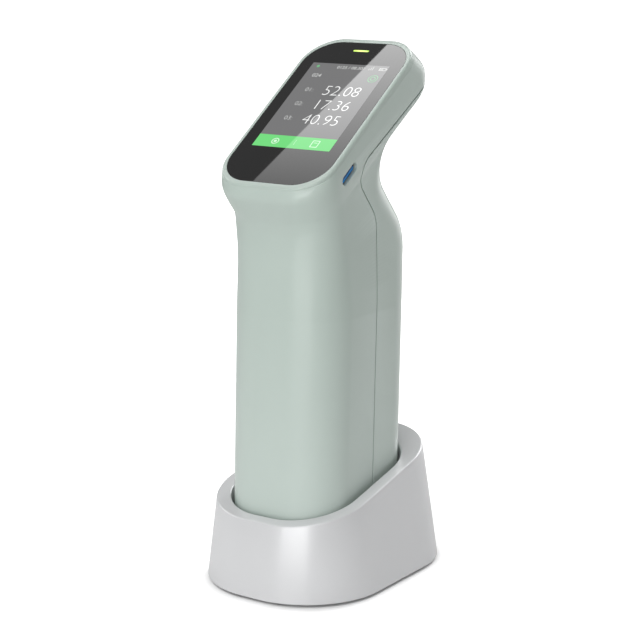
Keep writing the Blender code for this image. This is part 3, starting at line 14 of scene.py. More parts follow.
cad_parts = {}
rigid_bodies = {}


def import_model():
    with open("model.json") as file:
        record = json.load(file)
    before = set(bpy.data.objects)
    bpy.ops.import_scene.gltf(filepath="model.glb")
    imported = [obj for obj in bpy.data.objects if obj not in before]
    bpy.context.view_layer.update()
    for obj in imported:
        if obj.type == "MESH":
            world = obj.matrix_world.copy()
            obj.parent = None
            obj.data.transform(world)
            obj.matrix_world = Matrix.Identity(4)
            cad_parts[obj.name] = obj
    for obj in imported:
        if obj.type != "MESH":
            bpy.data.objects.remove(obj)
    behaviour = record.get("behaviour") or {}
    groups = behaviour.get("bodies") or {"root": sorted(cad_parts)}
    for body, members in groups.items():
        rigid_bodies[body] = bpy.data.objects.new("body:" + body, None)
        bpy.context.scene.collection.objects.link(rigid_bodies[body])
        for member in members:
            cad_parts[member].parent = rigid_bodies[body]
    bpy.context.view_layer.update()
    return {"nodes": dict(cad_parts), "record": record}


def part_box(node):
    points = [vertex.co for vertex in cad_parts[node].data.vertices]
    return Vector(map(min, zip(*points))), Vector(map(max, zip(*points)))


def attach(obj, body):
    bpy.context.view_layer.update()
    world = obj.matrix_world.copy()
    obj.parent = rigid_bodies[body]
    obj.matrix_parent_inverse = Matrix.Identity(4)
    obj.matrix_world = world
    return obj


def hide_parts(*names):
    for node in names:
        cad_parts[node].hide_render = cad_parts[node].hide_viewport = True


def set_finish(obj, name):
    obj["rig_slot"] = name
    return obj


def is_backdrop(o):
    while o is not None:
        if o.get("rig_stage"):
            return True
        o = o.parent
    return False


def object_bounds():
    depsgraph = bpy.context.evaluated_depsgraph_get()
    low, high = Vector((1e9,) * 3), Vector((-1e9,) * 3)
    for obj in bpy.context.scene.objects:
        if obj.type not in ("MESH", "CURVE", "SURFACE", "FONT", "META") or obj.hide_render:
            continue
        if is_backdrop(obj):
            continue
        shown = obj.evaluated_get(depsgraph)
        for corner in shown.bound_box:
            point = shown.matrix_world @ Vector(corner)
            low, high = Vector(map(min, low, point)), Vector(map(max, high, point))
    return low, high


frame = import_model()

# %% [markdown]
# Two frames carry all the work. The handle leans back by two degrees, so its pieces are drawn square to
# it. The head is tilted against the handle, so whatever lies under the glass is drawn flat, in a
# second frame: X across the face, Y up the face and Z out of the glass.

# %% The two frames
MM = 0.001
LEAN = math.radians(2.0)
HEAD_TILT = math.radians(36.4)
FACE_CENTRE = Vector((-5.25 * MM, 198.7 * MM))
IN_WORLD = Matrix.Identity(4)
IN_HANDLE = Matrix.Translation((0, -7.5 * MM, 13.0 * MM)) @ Matrix.Rotation(-LEAN, 4, "X")
TO_FACE = Matrix.Translation((0, FACE_CENTRE.x, FACE_CENTRE.y)) @ Matrix.Rotation(HEAD_TILT, 4, "X")
IN_HEAD = IN_HANDLE @ TO_FACE
print("glass centre in mm:", [round(v / MM, 1) for v in IN_HEAD.translation])

# %% [markdown]
# The camera stands where the photograph was taken: in front, to the user's right and a little above.
# A long lens from 0.8 m gives the photograph's mild perspective.

# %% Camera
CAMERA_TARGET = Vector((7.856, -15.25, 120.04)) * MM
CAMERA_AZIMUTH = math.radians(34.365)
CAMERA_ELEVATION = math.radians(12.359)
CAMERA_DISTANCE = 833.4 * MM
CAMERA_LENS = 105.47


def direction(azimuth, elevation):
    """The unit vector towards an azimuth and elevation; azimuth 0 is the screen's side."""
    flat = math.cos(elevation)
    return Vector((math.sin(azimuth) * flat, -math.cos(azimuth) * flat, math.sin(elevation)))


def linked(name, data):
    """A new object of the scene, made of a mesh, curve, camera or lamp."""
    thing = bpy.data.objects.new(name, data)
    bpy.context.scene.collection.objects.link(thing)
    return thing


camera_data = bpy.data.cameras.new("camera")
camera_data.lens = CAMERA_LENS
camera_data.sensor_width = 36
camera_data.clip_start = 0.01
camera = linked("camera", camera_data)
to_camera = direction(CAMERA_AZIMUTH, CAMERA_ELEVATION)
camera.location = CAMERA_TARGET + to_camera * CAMERA_DISTANCE
camera.rotation_euler = (-to_camera).to_track_quat("-Z", "Y").to_euler()
bpy.context.scene.camera = camera
bpy.context.scene.view_settings.view_transform = "Standard"
print("camera at", [round(v, 3) for v in camera.location])

# %% [markdown]
# Pieces start as a bmesh. One helper closes a stack of rings into a skin, and another turns a finished
# bmesh into an object, smooth except at its real edges, which rides on a body of the frame.


# %% From rings to pieces
def loft(rings, closed=False):
    """Skins rings of equal count: closed, the last ring joins the first; open, the ends are capped."""
    bm = bmesh.new()
    rows = [[bm.verts.new(point) for point in ring] for ring in rings]
    pairs = list(zip(rows[:-1], rows[1:]))
    if closed:
        pairs.append((rows[-1], rows[0]))
    for low, high in pairs:
        count = len(low)
        for k in range(count):
            bm.faces.new((low[k], low[(k + 1) % count], high[(k + 1) % count], high[k]))
    if not closed:
        bm.faces.new(reversed(rows[0]))
        bm.faces.new(rows[-1])
    bmesh.ops.recalc_face_normals(bm, faces=bm.faces)
    return bm


def as_object(name, bm, place=IN_WORLD):
    """A linked object from a bmesh, drawn in the axes of a place."""
    mesh = bpy.data.meshes.new(name)
    bm.to_mesh(mesh)
    bm.free()
    thing = linked(name, mesh)
    thing.matrix_world = place
    return thing


SHARP_EDGE = math.radians(28)


def settle(thing, body, slot, material, *nodes):
    """Finishes a piece: smooth faces, its material, its body, and the solids that it stands for."""
    thing.data.shade_smooth()
    thing.data.set_sharp_from_angle(angle=SHARP_EDGE)
    thing.data.materials.clear()
    thing.data.materials.append(material)
    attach(thing, body)
    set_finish(thing, slot)
    if nodes:
        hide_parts(*nodes)


def worked_out(thing):
    """The mesh of an object once its modifiers, or its curve, are worked out."""
    graph = bpy.context.evaluated_depsgraph_get()
    return bpy.data.meshes.new_from_object(thing.evaluated_get(graph))


def carved(thing, *steps):
    """Runs Booleans on a piece, one after the other, and keeps the result."""
    for operation, cutter in steps:
        modifier = thing.modifiers.new("carve", "BOOLEAN")
        modifier.operation = operation
        modifier.object = cutter
    mesh = worked_out(thing)
    thing.modifiers.clear()
    thing.data = mesh
    return thing


def drop(*things):
    """Removes objects that were only needed on the way."""
    for thing in things:
        bpy.data.objects.remove(thing, do_unlink=True)


print("helpers ready")

# %% [markdown]
# Nothing here is painted with a picture. Each finish is a small network of noise, and effects that come
# back in many finishes are node groups. The first one is moulding grain: every plastic or lacquered face
# has a faint texture, so its highlight breaks up a little, and its colour drifts by a percent or two.


# %% Node group for moulding grain
def new_group(name, inputs, outputs):
    """An empty node group with named sockets of a type; each input also has a default."""
    group = bpy.data.node_groups.new(name, "ShaderNodeTree")
    for label, kind, value in inputs:
        socket = group.interface.new_socket(label, in_out="INPUT", socket_type=kind)
        socket.default_value = value
    for label, kind in outputs:
        group.interface.new_socket(label, in_out="OUTPUT", socket_type=kind)
    return group, group.nodes.new("NodeGroupInput"), group.nodes.new("NodeGroupOutput")


def feed(tree, target, links):
    """Links the inputs of a node, or gives them a value, by name or number."""
    for key, source in links.items():
        if isinstance(source, bpy.types.NodeSocket):
            tree.links.new(source, target.inputs[key])
        else:
            target.inputs[key].default_value = source


def node(tree, kind, links=None, **settings):
    """A node with its settings and its inputs."""
    made = tree.nodes.new(kind)
    for key, value in settings.items():
        setattr(made, key, value)
    feed(tree, made, links or {})
    return made


def maths(tree, operation, *values):
    """The result of a maths node; each of its values is a socket or a number."""
    return node(tree, "ShaderNodeMath", dict(enumerate(values)), operation=operation).outputs[0]


def vectors(tree, operation, *values, result="Vector"):
    """The result of a vector maths node, in the same way."""
    made = node(tree, "ShaderNodeVectorMath", dict(enumerate(values)), operation=operation)
    return made.outputs[result]


def ramp(tree, value, start, end, low=0.0, high=1.0, **settings):
    """A value carried from one range onto another."""
    links = {"Value": value, "From Min": start, "From Max": end, "To Min": low, "To Max": high}
    return node(tree, "ShaderNodeMapRange", links, **settings).outputs[0]


def noise(tree, vector, scale, detail):
    """Smooth noise from 0 to 1."""
    links = {"Vector": vector, "Scale": scale, "Detail": detail}
    return node(tree, "ShaderNodeTexNoise", links).outputs["Fac"]


def relief(tree, height, strength, distance):
    """A normal that makes a height look raised."""
    links = {"Height": height, "Strength": strength, "Distance": distance}
    return node(tree, "ShaderNodeBump", links).outputs[0]


def object_point(tree):
    """Where a point lies in its object's own axes, in metres."""
    return node(tree, "ShaderNodeTexCoord").outputs["Object"]


COLOUR = "NodeSocketColor"
NUMBER = "NodeSocketFloat"
VECTOR = "NodeSocketVector"
DRIFT_PER_METRE = 45.0
GRAIN_HEIGHT = 0.05 * MM

GRAIN, grain_in, grain_out = new_group(
    "Moulding grain",
    [
        ("Colour", COLOUR, (0.5, 0.5, 0.5, 1.0)),
        ("Roughness", NUMBER, 0.4),
        ("Grains per metre", NUMBER, 2500.0),
        ("Depth", NUMBER, 0.1),
        ("Drift", NUMBER, 0.03),
    ],
    [("Colour", COLOUR), ("Roughness", NUMBER), ("Normal", VECTOR)],
)
spot = object_point(GRAIN)
fine = noise(GRAIN, spot, grain_in.outputs["Grains per metre"], 2.0)
broad = noise(GRAIN, spot, DRIFT_PER_METRE, 3.0)
swing = maths(GRAIN, "ADD", broad, -0.5)
swing = maths(GRAIN, "MULTIPLY", swing, grain_in.outputs["Drift"])
swing = maths(GRAIN, "ADD", swing, 1.0)
tint = vectors(GRAIN, "MULTIPLY", grain_in.outputs["Colour"], swing)
patch = ramp(GRAIN, fine, 0.0, 1.0, 0.94, 1.08)
patch = maths(GRAIN, "MULTIPLY", patch, grain_in.outputs["Roughness"])
raised = relief(GRAIN, fine, grain_in.outputs["Depth"], GRAIN_HEIGHT)
feed(GRAIN, grain_out, {"Colour": tint, "Roughness": patch, "Normal": raised})
print("grain group sockets:", [socket.name for socket in GRAIN.interface.items_tree])

# %% [markdown]
# The second group paints a highlight on edges: where a moulding turns outwards, its colour is made a
# touch lighter, as if the edge caught the light. Pointiness is high where the mesh turns outwards, and a
# narrow ramp picks those places.


# %% Node group for a painted edge highlight
def blend(tree, factor, first, second):
    """One colour turned into another by a factor."""
    links = {"Factor": factor, "A": first, "B": second}
    return node(tree, "ShaderNodeMix", links, data_type="RGBA").outputs["Result"]


HIGHLIGHT_START = 0.515
HIGHLIGHT_FULL = 0.6

EDGE_HIGHLIGHT, highlight_in, highlight_out = new_group(
    "Painted edge highlight",
    [
        ("Colour", COLOUR, (0.5, 0.5, 0.5, 1.0)),
        ("Highlight colour", COLOUR, (0.7, 0.7, 0.7, 1.0)),
        ("Amount", NUMBER, 0.3),
    ],
    [("Colour", COLOUR)],
)
turned = node(EDGE_HIGHLIGHT, "ShaderNodeNewGeometry").outputs["Pointiness"]
highlight_mask = ramp(EDGE_HIGHLIGHT, turned, HIGHLIGHT_START, HIGHLIGHT_FULL, interpolation_type="SMOOTHSTEP")
highlight_mask = maths(EDGE_HIGHLIGHT, "MULTIPLY", highlight_mask, highlight_in.outputs["Amount"])
mixed = blend(EDGE_HIGHLIGHT, highlight_mask, highlight_in.outputs["Colour"], highlight_in.outputs["Highlight colour"])
feed(EDGE_HIGHLIGHT, highlight_out, {"Colour": mixed})
print("edge group sockets:", [socket.name for socket in EDGE_HIGHLIGHT.interface.items_tree])

# %% [markdown]
# A few functions wire those groups to a Principled shader. What is the same all over a surface, such as
# its metallic value or its coat, is set straight on the shader.


# %% Wiring a finish
def placed(tree, group, links):
    """A node group, placed in the tree of a material."""
    return node(tree, "ShaderNodeGroup", links, node_tree=group)


def wire(tree, effect, shader):
    """Links the colour, roughness and normal that an effect gives to a shader."""
    pairs = (("Colour", "Base Color"), ("Roughness", "Roughness"), ("Normal", "Normal"))
    for output, socket in pairs:
        if output in effect.outputs:
            tree.links.new(effect.outputs[output], shader.inputs[socket])


def bare_finish(name, **plain):
    """A material with only its Principled shader, whose plain values are given by socket name."""
    material = bpy.data.materials.new(name)
    material.use_nodes = True
    shader = material.node_tree.nodes["Principled BSDF"]
    for key, value in plain.items():
        shader.inputs[key.replace("_", " ")].default_value = value
    return material, material.node_tree, shader


def grained(
    name, colour, roughness, grains=2500.0, depth=0.1, drift=0.03, edge=None, amount=0.0, **plain
):
    """A finish with moulding grain, and a painted edge highlight where an edge colour is given."""
    material, tree, shader = bare_finish(name, **plain)
    source = (*colour, 1.0)
    if edge:
        highlight_links = {"Colour": source, "Highlight colour": (*edge, 1.0), "Amount": amount}
        source = placed(tree, EDGE_HIGHLIGHT, highlight_links).outputs["Colour"]
    grain_links = {
        "Colour": source,
        "Roughness": roughness,
        "Grains per metre": grains,
        "Depth": depth,
        "Drift": drift,
    }
    wire(tree, placed(tree, GRAIN, grain_links), shader)
    return material


# The housing and the stand get a painted highlight on their outward edges, through the edge colour.
SAGE = grained(
    "sage housing plastic",
    (0.475, 0.555, 0.51),
    0.28,
    depth=0.12,
    edge=(0.62, 0.70, 0.66),
    amount=0.5,
)
LACQUER = grained(
    "silver stand lacquer",
    (0.705, 0.71, 0.72),
    0.33,
    grains=5000.0,
    depth=0.06,
    drift=0.015,
    edge=(0.86, 0.86, 0.87),
    amount=0.6,
    Metallic=0.15,
    Coat_Weight=0.25,
    Coat_Roughness=0.2,
)
# A near-black finish for the strip in the seam's gap: painted shade.
SEAM_SHADE = grained("painted seam shade", (0.02, 0.022, 0.02), 0.8, depth=0.3)
print("first finishes:", SAGE.name, LACQUER.name)

# %% [markdown]
# The housing is the piece that gives the instrument its look. Seen from the side, two rails bound it: one
# runs up the front and under the chin, the other up the back, round the shoulder and along the back of the
# head. A row of sections joins the rails, each a rounded outline that turns from the deep handle into
# the flat head. The same rails made the solids, and here they are cut much finer.

# %% The housing's sizes
GLASS_WIDTH = 54.0 * MM
GLASS_LENGTH = 96.4 * MM
GLASS_CORNER = 15.4 * MM
GLASS_SEAT = 2.2 * MM
RIM_HALF_WIDTH = GLASS_WIDTH / 2 + 2.0 * MM
RIM_HALF_LENGTH = GLASS_LENGTH / 2 + 2.9 * MM
RIM_CORNER = GLASS_CORNER + 2.0 * MM
RIM = (RIM_HALF_WIDTH, RIM_HALF_LENGTH, RIM_CORNER)
RIM_EDGE = 1.0 * MM
HEAD_THICKNESS = 19.4 * MM
HEAD_FLARE = 7.9 * MM
HANDLE_HALF_WIDTH = 29.0 * MM
HANDLE_HALF_DEPTH = 38.4 * MM
HANDLE_CORNER = 21.5 * MM
HANDLE = (HANDLE_HALF_WIDTH, HANDLE_HALF_DEPTH, HANDLE_CORNER)
STRAIGHT_HEIGHT = 110.0 * MM
NECK_PINCH = 1.6 * MM
HEAD_BULGE = 0.6 * MM
BULGE_START = 0.7
WALL = 2.0 * MM
GAP = 0.12 * MM
CORNER_STEPS = 18
RAIL_STEPS = 14
SKIN_STATIONS = 64
INNER_STATIONS = 14
INNER_END = 0.86


def round_outline(sizes, inset=0):
    """A rectangle with round corners: its half width, half length and corner, each less an inset."""
    half_width, half_length, radius = (size - inset for size in sizes)
    points = []
    for side, end, rising in ((1, -1, False), (1, 1, True), (-1, 1, False), (-1, -1, True)):
        for step in range(CORNER_STEPS + 1):
            share = step / CORNER_STEPS if rising else 1 - step / CORNER_STEPS
            angle = share * math.pi / 2
            x = side * (half_width - radius + radius * math.cos(angle))
            points.append((x, end * (half_length - radius + radius * math.sin(angle))))
    return points


def edge_steps(inward, down, steps=6):
    """A round edge, step by step: how far it has come in, and how far it still lies below its top."""
    for step in range(steps + 1):
        angle = step / steps * math.pi / 2
        yield inward * (1 - math.cos(angle)), down * (1 - math.sin(angle))


def flat_ring(points, height):
    return [Vector((x, y, height)) for x, y in points]


print("points in a section:", len(round_outline(HANDLE)))

# %% [markdown]
# A rail is a polyline whose inner corners are rounded, each by its own radius. The face itself is a
# tilted plane, so a small function gives any side-view point by its distance up the face and behind it.

# %% Rails
FACE_UP = Vector((math.cos(HEAD_TILT), math.sin(HEAD_TILT)))
FACE_OUT = Vector((-math.sin(HEAD_TILT), math.cos(HEAD_TILT)))


def face_point(up, depth):
    return FACE_CENTRE + FACE_UP * up - FACE_OUT * depth


def bent_path(corners, rounds):
    """A polyline in the side view with each inner corner rounded by its own radius."""
    path = [Vector(corners[0])]
    for before, corner, after, radius in zip(corners[:-2], corners[1:-1], corners[2:], rounds):
        corner = Vector(corner)
        back = (Vector(before) - corner).normalized()
        on = (Vector(after) - corner).normalized()
        half = back.angle(on) / 2
        centre = corner + (back + on).normalized() * (radius / math.sin(half))
        start = corner + back * (radius / math.tan(half)) - centre
        end = corner + on * (radius / math.tan(half)) - centre
        turn = start.angle(end)
        for step in range(RAIL_STEPS + 1):
            share = step / RAIL_STEPS
            spoke = start * math.sin((1 - share) * turn) + end * math.sin(share * turn)
            path.append(centre + spoke / math.sin(turn))
    path.append(Vector(corners[-1]))
    return path


def path_length(path):
    return sum((end - start).length for start, end in zip(path[:-1], path[1:]))


def point_along(path, distance):
    """The point of a path at a distance from its start, and the path's direction there."""
    for start, end in zip(path[:-1], path[1:]):
        span = (end - start).length
        if distance <= span:
            break
        distance -= span
    on = (end - start).normalized()
    return start + on * min(distance, span), on


FRONT_RAIL = bent_path(
    [
        (-HANDLE_HALF_DEPTH, 0),
        (-HANDLE_HALF_DEPTH, 150.5 * MM),
        face_point(-RIM_HALF_LENGTH - 3.3 * MM, RIM_EDGE + 3.2 * MM),
        face_point(-RIM_HALF_LENGTH, RIM_EDGE),
    ],
    [15.3 * MM, 7.5 * MM],
)
BACK_RAIL = bent_path(
    [
        (HANDLE_HALF_DEPTH, 0),
        (HANDLE_HALF_DEPTH, 148.0 * MM),
        (5.15 * MM, 185.2 * MM),
        face_point(RIM_HALF_LENGTH + HEAD_FLARE, RIM_EDGE + HEAD_THICKNESS),
        face_point(RIM_HALF_LENGTH, RIM_EDGE),
    ],
    [22.8 * MM, 20.7 * MM, 6.5 * MM],
)
print("rails in mm:", round(path_length(FRONT_RAIL) / MM, 1), round(path_length(BACK_RAIL) / MM, 1))


# %% [markdown]
# Between the straight handle and the rim each section takes its width from an eased blend, pinched at the
# neck. The skin then turns over the rim, drops to the seat of the glass and comes back down inside, so the
# whole housing is one closed wall, two millimetres thick.


# %% Sections of the housing
def eased(share):
    return share * share * (3 - 2 * share)


def section(share, inset):
    """One section, in the plane through both rails' points and the X direction."""
    spots = []
    for rail, side in ((FRONT_RAIL, 1), (BACK_RAIL, -1)):
        run = STRAIGHT_HEIGHT + (path_length(rail) - STRAIGHT_HEIGHT) * share
        rail_spot, on = point_along(rail, run)
        spots.append(rail_spot + Vector((on.y, -on.x)) * inset * side)
    front, back = spots
    ease = eased(share)
    pinch = NECK_PINCH * math.sin(math.pi * share) ** 2
    bulge = HEAD_BULGE * math.sin(math.pi * max(share - BULGE_START, 0) / (1 - BULGE_START))
    half_width = HANDLE_HALF_WIDTH + (RIM_HALF_WIDTH - HANDLE_HALF_WIDTH) * ease - pinch + bulge - inset
    half_length = (back - front).length / 2
    corner = HANDLE_CORNER * (1 - ease) + RIM_CORNER * ease - inset
    middle = (front + back) / 2
    along = (back - front).normalized()
    ring = []
    for x, y in round_outline((half_width, half_length, corner)):
        spot = middle + along * y
        ring.append(Vector((x, spot.x, spot.y)))
    return ring


def face_ring(sizes, inset, depth, up=0):
    """A rounded rectangle parallel to the face, at a depth behind it."""
    ring = []
    for x, y in round_outline(sizes, inset):
        spot = face_point(up + y, depth)
        ring.append(Vector((x, spot.x, spot.y)))
    return ring


def skin_rings(inset, last, stations):
    rings = [flat_ring(round_outline(HANDLE, inset), 0)]
    rings.extend(section(last * step / stations, inset) for step in range(stations + 1))
    return rings


SEAT = (GLASS_WIDTH / 2 + GAP, GLASS_LENGTH / 2 + GAP, GLASS_CORNER + GAP)
WINDOW = (23.6 * MM, 32.2 * MM, 3.0 * MM)
WINDOW_RAISE = 3.6 * MM
LEDGE = 1.6 * MM


def housing():
    """The hollow housing before it is split: outer skin, rim, glass seat, window and inner skin."""
    rim_steps = list(edge_steps(RIM_EDGE, RIM_EDGE))[1:]
    rings = [
        *skin_rings(0, 1, SKIN_STATIONS),
        *(face_ring(RIM, inset, depth) for inset, depth in rim_steps),
        face_ring(SEAT, 0, 0),
        face_ring(SEAT, 0, GLASS_SEAT),
        face_ring(WINDOW, 0, GLASS_SEAT, WINDOW_RAISE),
        face_ring(WINDOW, 0, GLASS_SEAT + LEDGE, WINDOW_RAISE),
        face_ring(RIM, WALL, GLASS_SEAT + LEDGE),
        *reversed(skin_rings(WALL, INNER_END, INNER_STATIONS)),
    ]
    return loft(rings, closed=True)


print("faces in the housing:", len(housing().faces))


# %% [markdown]
# The real housing is two mouldings that meet along a seam: straight up the side of the handle, bent
# forward at the neck, then along the head. A slab with that side view splits the wall, moved by a small
# shift for each half, which leaves a fine gap. The dark line of the photograph there is painted shade:
# a near-black strip sunk in the gap.


# %% The seam and the cutters
def slab(side_outline, half_width):
    """A side-view outline, extruded across the instrument."""
    return loft([[Vector((x, p.x, p.y)) for p in side_outline] for x in (-half_width, half_width)])


def beside(path, distance):
    """The path moved sideways by a distance, to the right of its own direction."""
    result = []
    for k, path_spot in enumerate(path):
        on = (path[min(k + 1, len(path) - 1)] - path[max(k - 1, 0)]).normalized()
        result.append(path_spot + Vector((on.y, -on.x)) * distance)
    return result


SEAM_GAP = 0.7 * MM
SEAM_BACK = 2.2 * MM
SEAM_SETBACK = 2.4 * MM
BEYOND = 6.0 * MM


def behind_seam(shift):
    """Everything behind the seam, moved back by a small shift."""
    neck = Vector((-17.05 * MM, 174.8 * MM))
    top = face_point(RIM_HALF_LENGTH + HEAD_FLARE, RIM_EDGE + HEAD_THICKNESS - SEAM_SETBACK)
    far = top + (top - neck).normalized() * BEYOND
    corners = [(SEAM_BACK, -BEYOND), (SEAM_BACK, 153.3 * MM), neck, far]
    side = beside(bent_path(corners, [14.0 * MM, 9.8 * MM]), shift)
    reach = 2 * HANDLE_HALF_DEPTH + BEYOND
    side.append(Vector((reach, side[-1].y)))
    side.append(Vector((reach, -BEYOND)))
    return as_object("behind_seam", slab(side, HANDLE_HALF_WIDTH + BEYOND), IN_HANDLE)


def stadium(length, width, steps=14):
    """A slot outline with round ends, its length along x."""
    points = []
    for end in (1, -1):
        for step in range(steps + 1):
            angle = end * math.pi / 2 * (2 * step / steps - 1)
            x = end * ((length - width) / 2 + width / 2 * math.cos(angle))
            points.append((x, width / 2 * math.sin(angle)))
    return points


def circle(radius, steps=40):
    turn = 2 * math.pi / steps
    return [(radius * math.cos(k * turn), radius * math.sin(k * turn)) for k in range(steps)]


def stacked(levels):
    """A solid of stacked outlines: pairs of an outline and its height."""
    return loft([flat_ring(points, height) for points, height in levels])


def in_head(name, levels, place):
    """A solid of stacked outlines, in a place of the head."""
    return as_object(name, stacked(levels), IN_HEAD @ place)


SIDEWAYS = Matrix(((0, 0, 1, 0), (1, 0, 0, 0), (0, 1, 0, 0), (0, 0, 0, 1)))
KEY_SPOT = Matrix.Translation((0, -28.5 * MM, -9.3 * MM)) @ SIDEWAYS
KEY_SUNK = 1.2 * MM
KEY_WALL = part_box("side_key")[1].x + KEY_SUNK
KEY_LENGTH = 13.0 * MM
KEY_WIDTH = 4.2 * MM
print("the wall stands", round(KEY_WALL / MM, 2), "mm out at the key")

# %% [markdown]
# A Boolean modifier takes one mesh out of another, or keeps what both share. The front shell is the
# housing less what lies behind the seam, and less the slots for the key, the socket and the status
# light. The rear shell is what the housing shares with that slab. A near-black strip lies sunk between
# them as painted shade in the gap. The lean then goes into the meshes themselves, so their measured
# boxes are tight.

# %% Cutting the two shells
KEY_LIP = 2.6 * MM
KEY_ROOM = 9.2 * MM
PORT_SIZE = (9.5 * MM, 3.8 * MM)
LIGHT_SPOT = Matrix.Translation((0, 42.45 * MM, 0))
LIGHT_SLOT = (9.1 * MM, 1.9 * MM)
SHADE_STRIP_HALF = 0.27 * MM
SHADE_STRIP_SUNK = 0.75 * MM
SHADE_STRIP_END = 0.97

seat_slot = stadium(KEY_LENGTH + KEY_LIP, KEY_WIDTH + KEY_LIP)
key_slot = stadium(KEY_LENGTH, KEY_WIDTH)
key_cut_levels = [
    (seat_slot, KEY_WALL - KEY_ROOM),
    (seat_slot, KEY_WALL - WALL),
    (key_slot, KEY_WALL - WALL),
    (key_slot, KEY_WALL + BEYOND),
]
key_cut = in_head("key_cut", key_cut_levels, KEY_SPOT)
socket_low, socket_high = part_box("charging_socket")
socket_middle = IN_HEAD.inverted() @ ((socket_low + socket_high) / 2)
socket_place = Matrix.Translation((0, socket_middle.y, socket_middle.z)) @ SIDEWAYS
port = stadium(*PORT_SIZE)
port_levels = [(port, socket_low.x - BEYOND), (port, socket_low.x + 2 * BEYOND)]
socket_cut = in_head("socket_cut", port_levels, socket_place)
light_slot = stadium(*LIGHT_SLOT)
light_cut = in_head("light_cut", [(light_slot, -6.9 * MM), (light_slot, -1.0 * MM)], LIGHT_SPOT)
seams = [behind_seam(shift) for shift in (-SEAM_GAP / 2, SEAM_GAP / 2, -SHADE_STRIP_HALF, SHADE_STRIP_HALF)]
front_seam, rear_seam, shade_strip_front, shade_strip_rear = seams
front_shell = carved(
    as_object("front_housing", housing(), IN_HANDLE),
    ("DIFFERENCE", front_seam),
    ("DIFFERENCE", key_cut),
    ("DIFFERENCE", socket_cut),
    ("DIFFERENCE", light_cut),
)
rear_shell = carved(as_object("rear_housing", housing(), IN_HANDLE), ("INTERSECT", rear_seam))
# The strip lies just under the skin in the seam's gap, where its near-black colour stands in for shade.
shade_strip_rings = skin_rings(SHADE_STRIP_SUNK, SHADE_STRIP_END, SKIN_STATIONS)
shade_strip_rings.extend(reversed(skin_rings(WALL, INNER_END, INNER_STATIONS)))
seam_shade_strip = carved(
    as_object("seam_shade_strip", loft(shade_strip_rings, closed=True), IN_HANDLE),
    ("INTERSECT", shade_strip_front),
    ("DIFFERENCE", shade_strip_rear),
)
drop(key_cut, socket_cut, light_cut, *seams)
for leaning in (front_shell, rear_shell, seam_shade_strip):
    leaning.data.transform(leaning.matrix_world)
    leaning.matrix_world = IN_WORLD
settle(front_shell, "instrument", "housing", SAGE, "front_shell")
settle(rear_shell, "instrument", "housing", SAGE, "rear_shell")
settle(seam_shade_strip, "instrument", "foam", SEAM_SHADE)
print("front and rear faces:", len(front_shell.data.polygons), len(rear_shell.data.polygons))

# %% [markdown]
# A display like this is bonded: one sheet of glass, black ink printed on its back as a frame, and the
# lit picture glued right behind it without air, so the figures seem to lie in the surface. So the glass
# is one black sheet here, and the picture is a stack of very thin plates in its face, as glossy as the
# glass. A flat curve is the quickest way to such a plate, because its inner loops become holes.


# %% Black glass
def shifted(points, x, y):
    return [(point_x + x, point_y + y) for point_x, point_y in points]


def block(width, length, x, y):
    """A rectangle with its middle at x and y."""
    right, top = width / 2, length / 2
    return shifted([(-right, -top), (right, -top), (right, top), (-right, top)], x, y)


GLASS_TOP = -0.08 * MM
GLASS_THICKNESS = 1.2 * MM
GLASS_POLISH = 0.1 * MM
GLASS_GLOSS = 0.015
GLASS_SIZES = (GLASS_WIDTH / 2, GLASS_LENGTH / 2, GLASS_CORNER)

glass_levels = [(round_outline(GLASS_SIZES), -GLASS_THICKNESS)]
for inset, sunk in edge_steps(GLASS_POLISH, GLASS_POLISH):
    glass_levels.append((round_outline(GLASS_SIZES, inset), GLASS_TOP - sunk))
glass_levels.append((round_outline(GLASS_SIZES, 2 * GLASS_POLISH), GLASS_TOP))
black_glass = as_object("black_glass", stacked(glass_levels), IN_HEAD)
GLASS = grained("black printed glass", (0.004, 0.004, 0.004), GLASS_GLOSS, grains=60.0, depth=0.0)
settle(black_glass, "instrument", "glass", GLASS, "cover_glass")

# %% [markdown]
# The picture gives light of its own. Its ground is a dim grey, three large readings stand on it with
# small row numbers, and a green bar closes it at the bottom. The readings are made-up numbers. They
# come from text curves, thinned by a small negative offset.


# %% The lit picture
def face_plate(name, material, curve, shift):
    """Turns a flat curve or a text into a lit plate in the face, moved by a matrix first."""
    guide = linked(name + "_guide", curve)
    mesh = worked_out(guide)
    drop(guide)
    mesh.transform(shift)
    thing = linked(name, mesh)
    thing.matrix_world = IN_HEAD
    settle(thing, "instrument", "display", material)


def plate(name, material, loops, low, high):
    """A plate between two heights; the first loop is its outline and the others are holes."""
    curve = bpy.data.curves.new(name, "CURVE")
    curve.dimensions = "2D"
    curve.fill_mode = "BOTH"
    curve.extrude = (high - low) / 2
    for loop in loops:
        spline = curve.splines.new("POLY")
        spline.points.add(len(loop) - 1)
        for curve_point, (x, y) in zip(spline.points, loop):
            curve_point.co = (x, y, 0, 1)
        spline.use_cyclic_u = True
    face_plate(name, material, curve, Matrix.Translation((0, 0, (low + high) / 2)))


BLACK = (0.0, 0.0, 0.0, 1.0)


def lit(name, colour, drift=0.02, **plain):
    """A finish that glows: its colour drifts a little, as a backlight does."""
    material, tree, shader = bare_finish(
        name, Base_Color=BLACK, Emission_Strength=1.0, Roughness=GLASS_GLOSS, **plain
    )
    glow = placed(tree, GRAIN, {"Colour": (*colour, 1.0), "Depth": 0.0, "Drift": drift})
    feed(tree, shader, {"Emission Color": glow.outputs["Colour"]})
    return material


